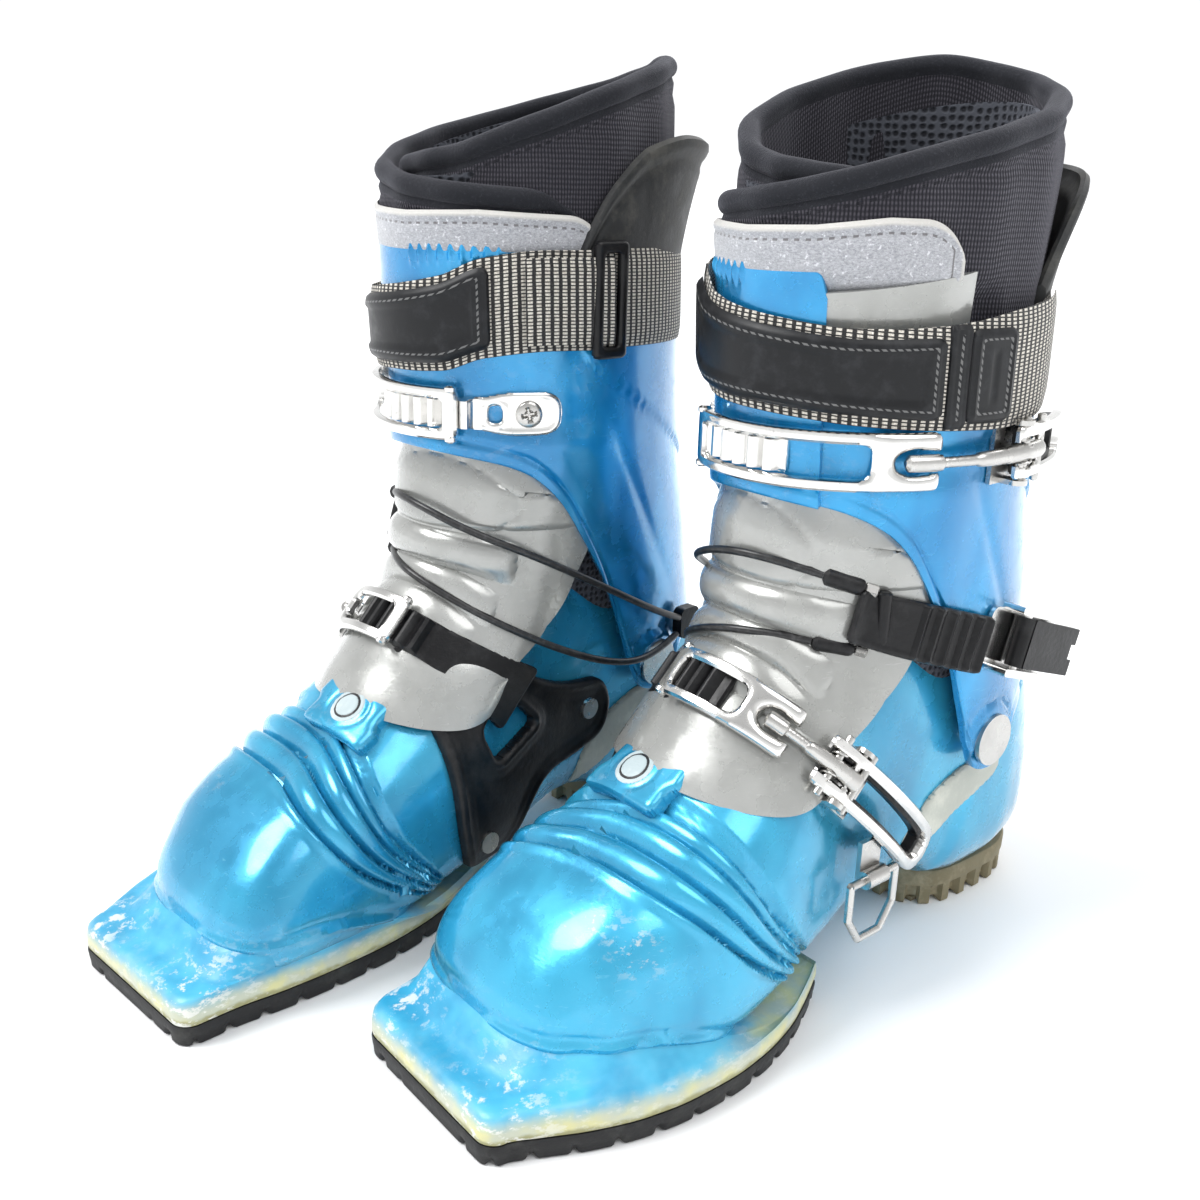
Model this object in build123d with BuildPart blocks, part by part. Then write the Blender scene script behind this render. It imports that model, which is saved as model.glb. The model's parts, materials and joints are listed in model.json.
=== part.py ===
"""A pair of plastic telemark ski boots: shells, cuffs, liners, straps, buckles and soles.

Each piece is made for the left boot in the boot's own frame (x to the outer side, toes toward -Y,
the sole's underside at z = 0) and is then placed twice, once as it is and once mirrored.
"""
import os
from math import cos, pi, radians, sin, sqrt, tan

from build123d import *

# Where the two boots stand, mm and degrees
HALF_SPACING = 64.75  # each boot's centre line from the middle of the pair, at the pivots' frame origin
TOE_IN_RIGHT = 6.98  # the right boot is turned in by this much
STEP_RIGHT = -57.4  # and stands this much further forward
SHIFT_X = 6.426  # moves the pair so that its box stands centred on the origin
SHIFT_Y = 31.904

# Sole
DUCKBILL_Y = -155.0  # front edge of the 75 mm wide toe plate
DUCKBILL_HALF = 37.5
SOLE_THICK = 8.0
DUCKBILL_TOP = 19.0
BALL_Y = -7.0  # the toe half bends about this line
BALL_Z = 9.0
BALL_HALF = 47.0
SOLE_OUTER = 60.0  # the sole bulges to the outer side of the ball
HEEL_FRONT_Y = 72.0
HEEL_REAR_Y = 152.0
HEEL_HALF = 31.0
HEEL_TOP = 17.0
PIN_RADIUS = 2.7  # three binding pins enter the toe plate from below
PIN_FRONT_Y = -143.0
PIN_BACK = 10.5
PIN_SIDE = 14.0

# Lower shell and the ankle drum that the cuff turns on
WALL = 4.0
FIT = 0.4  # between neighbours that only lie beside each other
PIVOT_Y = 75.0
PIVOT_Z = 90.0
DRUM_RADIUS = 52.0
DRUM_HALF = 43.5
# the drum's half-width and radius, from its middle to its flat ends
DRUM_PROFILE = ((0, DRUM_RADIUS), (15, 49), (25, 43), (33, 35), (40, 24.5), (DRUM_HALF, 15))
SHELL_TOP = 120.0
OPENING_FRONT_Y = 30.0  # the leg's opening runs back from here
LINER_FOOT_TOP = 112.0
TOE_ANGLE = 37.0  # the bellows fill the wedge between these two planes through the ball line
SHELL_ANGLE = 57.0
THROAT_HALF = 26.0
INSTEP_RISE = 28.0  # the shell's instep stops at this slope up from the pivot, degrees
# y, half-width, underside, top of the foot's outer form
FOOT_STATIONS = (
    (-131, 19, 19, 36),
    (-120, 33, 14, 51),
    (-95, 42, 12, 69),
    (-65, 45, 11, 85),
    (-40, 46, 10, 103),
    (-18, 45.5, 11, 124),
    (12, 44, 17, 123),
    (45, 42, 22, 104),
    (75, 41, 17, 98),
    (128, 35, 17, 78),
    (151, 29, 17, 42),
)

# Cuff: height, centre, half-width and half-length of its level rings
CUFF_RINGS = (
    (78, 76, 50, 62),
    (125, 66, 51, 62),
    (158, 57, 51, 66),
    (200, 49.5, 51, 66.5),
    (266, 45, 52, 67),
)
CUFF_WALL = 4.0
CUFF_TOP = 266.0
BOSS_RADIUS = 13.5
BOSS_FACE = 50.8
RIVET_RADIUS = 6.0
RIVET_PLAY = 0.08

# Spoiler: rings as for the cuff
SPOILER_RINGS = ((CUFF_TOP, 47, 57, 70), (286, 55, 57.6, 83), (312, 61, 57.6, 91))
SPOILER_WALL = 3.5

# Liner
LINER_WALL = 7.0
RIM_CENTRE_Y = 43.7
RIM_Z = 321.0
RIM_SLOPE = 0.32
RIM_HALF = 51.6
RIM_LENGTH = 66.3
LINER_RINGS = (
    (78, 76, 44.5, 56),
    (125, 66, 45.3, 56.3),
    (158, 57, 45.3, 60.3),
    (200, 49.5, 45.3, 60.8),
    (240, 46.8, 45.8, 59.7),
    (262, 45.6, 46.4, 60.4),
    (290, 45, RIM_HALF - 1.8, RIM_LENGTH - 1),
    (348, RIM_CENTRE_Y, RIM_HALF, RIM_LENGTH),
)

# Buckles: the ellipse that each pair of straps lies on, in the buckle's own plane
BUCKLE_WIDTH = 20.0
PIN = 1.5
PIN_PLAY = 0.08
CUFF_BUCKLE_Z = 197.5
CUFF_OVAL = (48.6, 51.6, 67.6)  # centre, half-width, half-length
INSTEP_TILT = 45.0  # the lower buckle lies across the instep, leaned back by this much
INSTEP_BUCKLE_Z = 52.0
INSTEP_OVAL = (-45.0, 48.5, 67.0)
ANKLE_TILT = 18.0
ANKLE_LOW = 134.0
ANKLE_HIGH = 156.0
ANKLE_OVAL = (10.0, 53.2, 75.5)
STRAP_LOW = 226.0
STRAP_HIGH = 265.0
STRAP_THICK = 2.6
STRAP_OVAL = (46.2, 52.5, 68.7)

# Tongue: a plate that curves about the cuff's pivot, between two angles
TONGUE_RADIUS = 101.8
TONGUE_THICK = 3.0
TONGUE_HALF = 16.5
TONGUE_LOW = 16.5
TONGUE_HIGH = 37.0
# The liner's shaft stops at this angle in front and this radius below, about the same pivot
SHAFT_FRONT_ANGLE = 48.0
SHAFT_LOW_RADIUS = 56.3
RIVET_FACE = 53.1  # outer face of the pivot rivets

# Walk lever on two lugs at the back of the cuff, and the bar on the heel
WALK_PIN_Y = 128.0
WALK_PIN_Z = 160.0
WALK_HALF = 9.0
WALK_LUG = 3.5
WALK_LUG_X = 11.05
LOCK_HALF = 8.0
LOCK_GAP = 0.2
LOCK_THICK = 1.3
LOCK_LOW = 171.0
LOCK_HIGH = 152.0

# Ratchet on the outer side of the cuff
RATCHET_X = 52.2
RATCHET_Y = 80.0
RATCHET_Z = 131.0
RATCHET_PIN = -6.0
RATCHET_PIN_HEIGHT = 6.2

# Gaiter ring: its hinge line and half-width
RING_X = 55.6
RING_Y = 2.4
RING_Z = 57.0
RING_HALF = 12.5

CABLE_RADIUS = 1.5
FERRULE_RADIUS = 3.2

FAR = 400.0  # reaches past everything
SIDES = ("left", "right")


def tilted(tilt):
    """A plane across the boot, leaned back by tilt degrees; its local -y is the front."""
    lean = radians(tilt)
    return Plane(origin=(0, 0, 0), x_dir=(1, 0, 0), z_dir=(0, sin(lean), cos(lean)))


def toward_toe(angle, reach=FAR):
    """A point of the side view, seen from the ball line at this angle above the floor."""
    return (BALL_Y - reach * cos(radians(angle)), BALL_Z + reach * sin(radians(angle)))


def round_pivot(radius, angle):
    """A point of the side view on a circle about the cuff's pivot; 0 is forward, 90 is up."""
    return (PIVOT_Y - radius * cos(radians(angle)), PIVOT_Z + radius * sin(radians(angle)))


def side_prism(points, half_width=70.0, middle=0.0):
    """A prism across the boot with this outline in the side view (y, z)."""
    with BuildPart() as prism:
        with BuildSketch(Plane.YZ.offset(middle)):
            with BuildLine():
                Polyline(*points, close=True)
            make_face()
        extrude(amount=half_width, both=True)
    return prism.part


def across(radius, half_width, y, z):
    """A round bar lying across the boot."""
    with BuildPart() as bar:
        with Locations((0, y, z)):
            Cylinder(radius, 2 * half_width, rotation=(0, 90, 0))
    return bar.part


def foot_form(inset):
    """The foot's form and ankle drum, shrunk by inset on every side."""
    outer_half = [(max(x - inset, 0), radius - inset) for x, radius in DRUM_PROFILE]
    inner_half = [(-x, radius) for x, radius in reversed(outer_half[1:])]
    drum_outline = [(-outer_half[-1][0], 0), *inner_half, *outer_half, (outer_half[-1][0], 0)]
    drum_outline = list(dict.fromkeys(drum_outline))
    buckle_plane = tilted(INSTEP_TILT)
    centre, half_width, half_length = INSTEP_OVAL
    with BuildPart() as form:
        for y, half_width, low, high in FOOT_STATIONS:
            height = high - low - 2 * inset
            if height > 8:
                with BuildSketch(Plane.XZ.offset(-y)):
                    with Locations((0, (low + high) / 2)):
                        width = 2 * (half_width - inset)
                        RectangleRounded(width, height, 0.42 * min(width, height))
        loft(ruled=True)
        with BuildSketch(buckle_plane.offset(INSTEP_BUCKLE_Z - 44)):
            with Locations((0, centre - 100)):
                Rectangle(200, 200)
            with Locations((0, centre)):
                Ellipse(half_width - inset - 0.3, half_length - inset - 0.3, mode=Mode.SUBTRACT)
        extrude(amount=84, mode=Mode.SUBTRACT)
        with BuildSketch(Plane(origin=(0, PIVOT_Y, PIVOT_Z), x_dir=(1, 0, 0), z_dir=(0, 0, 1))):
            with BuildLine():
                Polyline(*drum_outline, close=True)
            make_face()
        revolve(axis=Axis((0, PIVOT_Y, PIVOT_Z), (1, 0, 0)))
    return form.part


def ring_form(rings, inset, past_ends=0.0):
    """A smooth tube form through level ellipses, shrunk by inset."""
    with BuildPart() as form:
        for place, (z, centre, half_width, half_length) in enumerate(rings):
            if place == 0:
                z -= past_ends
            if place == len(rings) - 1:
                z += past_ends
            with BuildSketch(Plane.XY.offset(z)):
                with Locations((0, centre)):
                    Ellipse(half_width - inset, half_length - inset)
        loft()
    return form.part


def on_oval(oval, angle, stand_off):
    """A point of a buckle's plane, off its oval; 0 is the outer side, -90 the front."""
    centre, half_width, half_length = oval
    along = radians(angle)
    across_part = cos(along) / (half_width + stand_off)
    front_part = sin(along) / (half_length + stand_off)
    reach = 1 / sqrt(across_part**2 + front_part**2)
    return (reach * cos(along), centre + reach * sin(along))


def band(plane, oval, start, stop, low, high, inside, outside):
    """A strip that wraps an oval from one angle to another, between two heights of its plane."""
    centre, half_width, half_length = oval
    middle = (start + stop) / 2
    corners = [(0, centre)]
    for angle in (start, (start + middle) / 2, middle, (middle + stop) / 2, stop):
        corners.append((FAR * cos(radians(angle)), centre + FAR * sin(radians(angle))))
    with BuildPart() as strip:
        with BuildSketch(plane.offset(low)):
            with Locations((0, centre)):
                Ellipse(half_width + outside, half_length + outside)
                Ellipse(half_width + inside, half_length + inside, mode=Mode.SUBTRACT)
            with BuildLine():
                Polyline(*corners, close=True)
            make_face(mode=Mode.INTERSECT)
        extrude(amount=high - low)
    return strip.part


def upright(plane, point, radius, low, high):
    """A round pin standing on a buckle's plane."""
    with BuildPart() as pin:
        with BuildSketch(plane.offset(low)):
            with Locations(point):
                Circle(radius)
        extrude(amount=high - low)
    return pin.part


def tube_along(points, radius):
    """A round cable: straight runs joined by the largest tangent arcs that the runs allow."""
    corners = [Vector(*point) for point in points]
    radii = []
    for before, corner, after in zip(corners, corners[1:], corners[2:]):
        turn = (corner - before).get_angle(after - corner)
        shorter = min((corner - before).length, (after - corner).length)
        radii.append(0.45 * shorter / tan(radians(turn) / 2))
    print("cable radii:", [round(value) for value in radii])
    with BuildPart() as cable:
        with BuildLine() as route:
            FilletPolyline(*points, radius=radii)
        path = route.wires()[0]
        with BuildSketch(Plane(origin=path @ 0, z_dir=path % 0)):
            Circle(radius)
        sweep(path=path)
    print("cable volume", round(cable.part.volume), "from", round(pi * radius**2 * path.length))
    return cable.part


def rod(start, stop, radius):
    """A straight round rod between two points."""
    with BuildPart() as bar:
        with BuildSketch(Plane(origin=start, z_dir=Vector(*stop) - Vector(*start))):
            Circle(radius)
        extrude(amount=(Vector(*stop) - Vector(*start)).length)
    return bar.part


def half_sole(low, high, rear):
    """The toe half of the sole in plan: square duckbill widening to the ball of the foot."""
    with BuildPart() as plate:
        with BuildSketch(Plane.XY.offset(low)):
            with BuildLine():
                outline = (
                    (DUCKBILL_HALF, DUCKBILL_Y),
                    (48, -128),
                    (56, -108),
                    (SOLE_OUTER, -86),
                    (SOLE_OUTER, -56),
                    (55, -30),
                    (BALL_HALF, BALL_Y),
                    (-BALL_HALF, BALL_Y),
                    (-BALL_HALF, -30),
                    (-45, -70),
                    (-42, -114),
                    (-DUCKBILL_HALF, DUCKBILL_Y),
                )
                Polyline(*outline, close=True)
            make_face()
            with Locations((0, rear + FAR / 2)):
                Rectangle(FAR, FAR, mode=Mode.SUBTRACT)
        extrude(amount=high - low)
    return plate.part


pieces = {}


def keep(name, *solids):
    """Files one piece, or one group of like solids, under its name."""
    pieces[name] = solids[0] if len(solids) == 1 else Compound(children=list(solids))


# ---- forms shared by several pieces ----
foot_outside = foot_form(0)
foot_inside = foot_form(WALL)
liner_outside = foot_form(WALL + FIT)
liner_inside = foot_form(WALL + FIT + LINER_WALL)
cuff_outside = ring_form(CUFF_RINGS, 0)
cuff_inside = ring_form(CUFF_RINGS, CUFF_WALL, 1)
shaft_outside = ring_form(LINER_RINGS, 0)
shaft_inside = ring_form(LINER_RINGS, LINER_WALL, 1)

toe_side = side_prism((toward_toe(TOE_ANGLE), (BALL_Y, BALL_Z), (BALL_Y, -10), (-FAR, -10)))
shell_side = side_prism((toward_toe(SHELL_ANGLE), (BALL_Y, BALL_Z), (BALL_Y, -10), (FAR, -10), (FAR, FAR)))
bellows_side = side_prism(
    (toward_toe(TOE_ANGLE + 0.5), (BALL_Y, BALL_Z), toward_toe(SHELL_ANGLE - 0.5)),
)
instep_limit = side_prism(
    (
        round_pivot(DRUM_RADIUS - 1, INSTEP_RISE),
        round_pivot(FAR, INSTEP_RISE),
        (-FAR, FAR),
        (OPENING_FRONT_Y, FAR),
    ),
)
above_shell = side_prism(
    ((OPENING_FRONT_Y, SHELL_TOP), (FAR, SHELL_TOP), (FAR, FAR), (OPENING_FRONT_Y, FAR)),
)
above_liner_foot = side_prism(
    ((OPENING_FRONT_Y, LINER_FOOT_TOP), (FAR, LINER_FOOT_TOP), (FAR, FAR), (OPENING_FRONT_Y, FAR)),
)

# ---- toe half: blue toe box with its duckbill, on a black rubber sole ----
pin_places = ((0, PIN_FRONT_Y), (-PIN_SIDE, PIN_FRONT_Y + PIN_BACK), (PIN_SIDE, PIN_FRONT_Y + PIN_BACK))
duckbill = half_sole(SOLE_THICK, DUCKBILL_TOP, BALL_Y)
toe_sole_plate = half_sole(0, SOLE_THICK, BALL_Y)

with BuildPart() as toe_shell:
    add(foot_outside)
    add(foot_inside, mode=Mode.SUBTRACT)
    add(duckbill)
    add(toe_side, mode=Mode.INTERSECT)
    with BuildSketch(Plane.XY.offset(SOLE_THICK)):
        Rectangle(FAR, FAR)
    extrude(amount=FAR, mode=Mode.INTERSECT)
keep("toe_shell", toe_shell.part)

with BuildPart() as toe_sole:
    add(toe_sole_plate)
    with Locations(*[(x, y, SOLE_THICK / 2) for x, y in pin_places]):
        Cylinder(PIN_RADIUS, SOLE_THICK + 2, mode=Mode.SUBTRACT)
    with Locations((0, -75, 0)):
        Box(30, 90, 4, mode=Mode.SUBTRACT)
keep("toe_sole", toe_sole.part)

# ---- lower shell: foot and ankle drum, open at the throat and at the top ----
with BuildPart() as lower_shell:
    add(foot_outside)
    add(foot_inside, mode=Mode.SUBTRACT)
    add(shell_side, mode=Mode.INTERSECT)
    add(instep_limit, mode=Mode.SUBTRACT)
    add(above_shell, mode=Mode.SUBTRACT)
    with Locations((0, 5, SHELL_TOP)):
        Box(2 * THROAT_HALF, 90, 2 * (SHELL_TOP - 92), mode=Mode.SUBTRACT)
    with Locations((0, PIVOT_Y, PIVOT_Z)):
        Cylinder(RIVET_RADIUS, 120, rotation=(0, 90, 0), mode=Mode.SUBTRACT)
keep("lower_shell", lower_shell.part)

with BuildPart() as bellows:
    add(foot_outside)
    add(foot_inside, mode=Mode.SUBTRACT)
    add(bellows_side, mode=Mode.INTERSECT)
keep("bellows", bellows.part)

with BuildPart() as heel_sole:
    with BuildSketch():
        with BuildLine():
            Line((-24, HEEL_FRONT_Y), (24, HEEL_FRONT_Y))
            Line((24, HEEL_FRONT_Y), (HEEL_HALF, HEEL_FRONT_Y + 12))
            Line((HEEL_HALF, HEEL_FRONT_Y + 12), (HEEL_HALF, 125))
            ThreePointArc((HEEL_HALF, 125), (0, HEEL_REAR_Y), (-HEEL_HALF, 125))
            Line((-HEEL_HALF, 125), (-HEEL_HALF, HEEL_FRONT_Y + 12))
            Line((-HEEL_HALF, HEEL_FRONT_Y + 12), (-24, HEEL_FRONT_Y))
        make_face()
    extrude(amount=HEEL_TOP - 0.1)
    fillet(heel_sole.edges().filter_by(Axis.Z), 4)
keep("heel_sole", heel_sole.part)

with BuildPart() as liner_foot:
    add(liner_outside)
    add(liner_inside, mode=Mode.SUBTRACT)
    add(shell_side, mode=Mode.INTERSECT)
    add(instep_limit, mode=Mode.SUBTRACT)
    add(above_liner_foot, mode=Mode.SUBTRACT)
keep("liner_foot", liner_foot.part)

# ---- tongue: lies over the throat, concentric with the cuff's pivot ----
tongue_sector = side_prism(((PIVOT_Y, PIVOT_Z), round_pivot(FAR, TONGUE_LOW), round_pivot(FAR, TONGUE_HIGH)))
with BuildPart() as tongue:
    with Locations((0, PIVOT_Y, PIVOT_Z)):
        Cylinder(TONGUE_RADIUS, 2 * TONGUE_HALF, rotation=(0, 90, 0))
        Cylinder(TONGUE_RADIUS - TONGUE_THICK, 2 * TONGUE_HALF, rotation=(0, 90, 0), mode=Mode.SUBTRACT)
    add(tongue_sector, mode=Mode.INTERSECT)
keep("tongue", tongue.part)

# ---- cuff: turns on two rivets through the ankle drum ----
cuff_side = side_prism(
    (
        (-60, 196),
        (-18, 190),
        (6, 185),
        (20, 173),
        (31, 154),
        (42, 134),
        (54, 108),
        (PIVOT_Y - 13, 86),
        (PIVOT_Y - 6, 78.2),
        (PIVOT_Y + 7, 78.2),
        (PIVOT_Y + 16, 90),
        (PIVOT_Y + 28, 97),
        (160, 97),
        (160, CUFF_TOP),
        (-60, CUFF_TOP),
    )
)
with BuildPart() as cuff:
    add(cuff_outside)
    with Locations((0, PIVOT_Y, PIVOT_Z + 1)):
        Cylinder(BOSS_RADIUS, 2 * BOSS_FACE, rotation=(0, 90, 0))
    add(cuff_inside, mode=Mode.SUBTRACT)
    with Locations((0, PIVOT_Y, PIVOT_Z)):
        Cylinder(BOSS_RADIUS + 4, 2 * (DRUM_HALF + 1), rotation=(0, 90, 0), mode=Mode.SUBTRACT)
    add(cuff_side, mode=Mode.INTERSECT)
    for side in (-1, 1):
        with Locations((side * WALK_LUG_X, WALK_PIN_Y - 3, WALK_PIN_Z)):
            Box(WALK_LUG, 13, 11)
    with Locations((0, PIVOT_Y, PIVOT_Z)):
        Cylinder(RIVET_RADIUS + RIVET_PLAY, FAR, rotation=(0, 90, 0), mode=Mode.SUBTRACT)
    with Locations((0, WALK_PIN_Y, WALK_PIN_Z)):
        Cylinder(PIN, FAR, rotation=(0, 90, 0), mode=Mode.SUBTRACT)
keep("cuff", cuff.part)

# ---- spoiler: flared rubber guard behind the liner's rim ----
spoiler_side = side_prism(
    ((36, 281), (58, CUFF_TOP + 0.3), (140, CUFF_TOP + 0.3), (160, 297), (152, 303.5), (78, 310), (44, 298))
)
spoiler_outside = ring_form(SPOILER_RINGS, 0)
spoiler_inside = ring_form(SPOILER_RINGS, SPOILER_WALL, 1)
with BuildPart() as spoiler:
    add(spoiler_outside)
    add(spoiler_inside, mode=Mode.SUBTRACT)
    add(spoiler_side, mode=Mode.INTERSECT)
keep("spoiler", spoiler.part)

# ---- liner's shaft: inside the cuff, with a rolled rim that rises behind the calf ----
rim_front_z = RIM_Z + RIM_SLOPE * (-60 - RIM_CENTRE_Y)
rim_rear_z = RIM_Z + RIM_SLOPE * (160 - RIM_CENTRE_Y)
rim_side = side_prism(((-60, 60), (-60, rim_front_z), (160, rim_rear_z), (160, 60)))
shaft_keep_out = side_prism(
    (
        (PIVOT_Y, PIVOT_Z),
        round_pivot(150, SHAFT_FRONT_ANGLE),
        (-120, 60),
        (200, 60),
        (200, 102),
        (PIVOT_Y, 102),
    )
)
with BuildPart() as liner_shaft:
    add(shaft_outside)
    add(shaft_inside, mode=Mode.SUBTRACT)
    add(rim_side, mode=Mode.INTERSECT)
    add(shaft_keep_out, mode=Mode.SUBTRACT)
    with Locations((0, PIVOT_Y, PIVOT_Z)):
        Cylinder(SHAFT_LOW_RADIUS, FAR, rotation=(0, 90, 0), mode=Mode.SUBTRACT)
keep("liner_shaft", liner_shaft.part)

# ---- pivot rivets and the rivets of the lower straps ----
rivets = []
for side in (-1, 1):
    with BuildPart() as pivot_rivet:
        with Locations((side * (DRUM_HALF - 3.9 + RIVET_FACE) / 2, PIVOT_Y, PIVOT_Z)):
            Cylinder(RIVET_RADIUS, RIVET_FACE - DRUM_HALF + 3.9, rotation=(0, 90, 0))
        with Locations((side * (RIVET_FACE - 1), PIVOT_Y, PIVOT_Z)):
            Cylinder(10.5, 2, rotation=(0, 90, 0))
    rivets.append(pivot_rivet.part)

# ---- instep strap: ladder over the tongue, forked down the inner side ----
instep_plane = tilted(INSTEP_TILT)
ladder_low = INSTEP_BUCKLE_Z + 2
ladder_high = INSTEP_BUCKLE_Z + BUCKLE_WIDTH - 2
instep_ladder = band(instep_plane, INSTEP_OVAL, -158, -78, ladder_low, ladder_high, 0, 2.4)
instep_fork = band(instep_plane, INSTEP_OVAL, -200, -150, 12, 90, 0, 2.4)
fork_front = ((-13, 115), (-34, 118), (-30, 92), (-34, 32))
fork_rear = ((-18, 30), (-9, 78), (34, 66), (40, 88), (8, 96))
fork_side = side_prism(fork_front + fork_rear)
fork_window = side_prism(((-11, 107), (-21, 98), (-15, 88), (8, 85)))
with BuildPart() as instep_strap:
    add(instep_fork)
    add(fork_side, mode=Mode.INTERSECT)
    add(fork_window, mode=Mode.SUBTRACT)
    add(instep_ladder)
keep("instep_strap", instep_strap.part)

for y, z in ((-25, 38), (32, 80)):
    with BuildPart() as strap_rivet:
        with Locations((-INSTEP_OVAL[1] - 3.2, y, z)):
            Cylinder(4.5, 1.6, rotation=(0, 90, 0))
    rivets.append(strap_rivet.part)
keep("shell_rivets", *rivets)


# ---- buckles: base with its pin, horseshoe lever, bail ----
def buckle(plane, oval, low, pin_angle, lever_angle, bail_pin_angle, block_angle, bail_angle):
    """Base, lever and bail of a buckle that closes along an oval."""
    high = low + BUCKLE_WIDTH
    turn = 1 if lever_angle > pin_angle else -1
    pin_at = on_oval(oval, pin_angle, 7.2)
    bail_pin_at = on_oval(oval, bail_pin_angle, 7.4)
    legs = ((low + 0.6, low + 6), (high - 6, high - 0.6))
    rails = ((low, low + 3.5), (high - 3.5, high))
    rod_low = low + 6.4
    rod_high = high - 6.4
    base_solids = [band(plane, oval, pin_angle - 9, pin_angle + 11, low - 1.5, high + 1.5, 0, 1.8)]
    for ear_low, ear_high in ((low - 1.5, low + 0.3), (high - 0.3, high + 1.5)):
        base_solids.append(upright(plane, pin_at, 3.4, ear_low, ear_high))
        base_solids.append(band(plane, oval, pin_angle - 3, pin_angle + 3, ear_low, ear_high, 1, 6))
    for stub_low, stub_high in ((low, low + 6), (high - 6, high)):
        base_solids.append(upright(plane, pin_at, PIN, stub_low, stub_high))

    lever_solids = [band(plane, oval, lever_angle - turn * 9, lever_angle, legs[0][0], legs[1][1], 5.2, 9)]
    lever_bores = []
    for leg_low, leg_high in legs:
        lever_solids.append(upright(plane, pin_at, 3.4, leg_low, leg_high))
        lever_solids.append(band(plane, oval, pin_angle + turn, lever_angle, leg_low, leg_high, 5.2, 9))
        lever_bores.append(upright(plane, pin_at, PIN + PIN_PLAY, leg_low - 1, leg_high + 1))
    lever_pin = upright(plane, bail_pin_at, PIN, legs[0][1] - 2, legs[1][0] + 2)

    bail_solids = [
        upright(plane, bail_pin_at, 3, rod_low, rod_high),
        band(plane, oval, block_angle, bail_pin_angle, rod_low + 1, rod_high - 1, 5.6, 9),
        band(plane, oval, block_angle - 7, block_angle, low, high, 4.6, 9),
        band(plane, oval, bail_angle, bail_angle + 5, low, high, 3, 7),
    ]
    for rail_low, rail_high in rails:
        bail_solids.append(band(plane, oval, bail_angle, block_angle - 6, rail_low, rail_high, 4.2, 7))
    bail_bore = upright(plane, bail_pin_at, PIN + PIN_PLAY, rod_low - 1, rod_high + 1)

    with BuildPart() as base:
        add(base_solids)
    with BuildPart() as lever:
        add(lever_solids)
        add(lever_bores, mode=Mode.SUBTRACT)
        add(lever_pin)
    with BuildPart() as bail:
        add(bail_solids)
        add(bail_bore, mode=Mode.SUBTRACT)
    return base.part, lever.part, bail.part


cuff_base, cuff_lever, cuff_bail = buckle(
    Plane.XY, CUFF_OVAL, CUFF_BUCKLE_Z, 8, 43, 17, -25, -116
)
keep("cuff_lever", cuff_lever)
keep("cuff_bail", cuff_bail)
keep("cuff_base", cuff_base)

instep_base, instep_lever, instep_bail = buckle(
    instep_plane, INSTEP_OVAL, INSTEP_BUCKLE_Z, -32, 22, -22, -48, -104
)
keep("instep_lever", instep_lever)
keep("instep_bail", instep_bail)

# ---- gaiter ring on a clip riveted below the instep buckle ----
with BuildPart() as ring_clip:
    with Locations((RING_X, RING_Y, RING_Z)):
        Cylinder(3.4, 11, rotation=(90, 0, 0))
    with Locations((RING_X - 3.1, RING_Y, RING_Z + 6.5)):
        Box(2, 11, 15)
    with Locations((RING_X, RING_Y, RING_Z)):
        Cylinder(PIN + PIN_PLAY, 14, rotation=(90, 0, 0), mode=Mode.SUBTRACT)
keep("instep_base", instep_base, ring_clip.part)

with BuildPart() as gaiter_ring:
    with BuildLine():
        ring_route = Polyline(
            (RING_X, RING_Y, RING_Z),
            (RING_X, RING_Y - RING_HALF, RING_Z),
            (RING_X, RING_Y - RING_HALF, RING_Z - 14),
            (RING_X, RING_Y - 6, RING_Z - 24),
            (RING_X, RING_Y + 6, RING_Z - 24),
            (RING_X, RING_Y + RING_HALF, RING_Z - 14),
            (RING_X, RING_Y + RING_HALF, RING_Z),
            (RING_X, RING_Y, RING_Z),
        )
    with BuildSketch(Plane(origin=(RING_X, RING_Y, RING_Z), z_dir=(0, -1, 0))):
        Circle(PIN)
    sweep(path=ring_route, transition=Transition.ROUND)
keep("gaiter_ring", gaiter_ring.part)

# ---- ladder that the upper bail hooks, screwed to the cuff ----
ladder_band = band(Plane.XY, CUFF_OVAL, -150, -72, CUFF_BUCKLE_Z + 2, CUFF_BUCKLE_Z + 18, 0, 2.2)
ladder_slot = band(Plane.XY, CUFF_OVAL, -126, -121, CUFF_BUCKLE_Z + 7, CUFF_BUCKLE_Z + 13, -1, 3)
with BuildPart() as cuff_ladder:
    add(ladder_band)
    add(ladder_slot, mode=Mode.SUBTRACT)
keep("cuff_ladder", cuff_ladder.part)

screws = []
for angle in (-146, -132):
    screw_at = on_oval(CUFF_OVAL, angle, 4.4)
    screws.append(upright(Plane.XY, screw_at, 2, CUFF_BUCKLE_Z + 7, CUFF_BUCKLE_Z + 13))
screws.append(across(PIN, WALK_LUG_X + WALK_LUG / 2, WALK_PIN_Y, WALK_PIN_Z))
keep("cuff_screws", *screws)

# ---- power strap and its rubber patch ----
strap_front = band(Plane.XY, STRAP_OVAL, -179.9, 0, STRAP_LOW, STRAP_HIGH, 0, STRAP_THICK)
strap_back = band(Plane.XY, STRAP_OVAL, 0, 179.9, STRAP_LOW, STRAP_HIGH, 0, STRAP_THICK)
with BuildPart() as power_strap:
    add(strap_front)
    add(strap_back)

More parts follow.
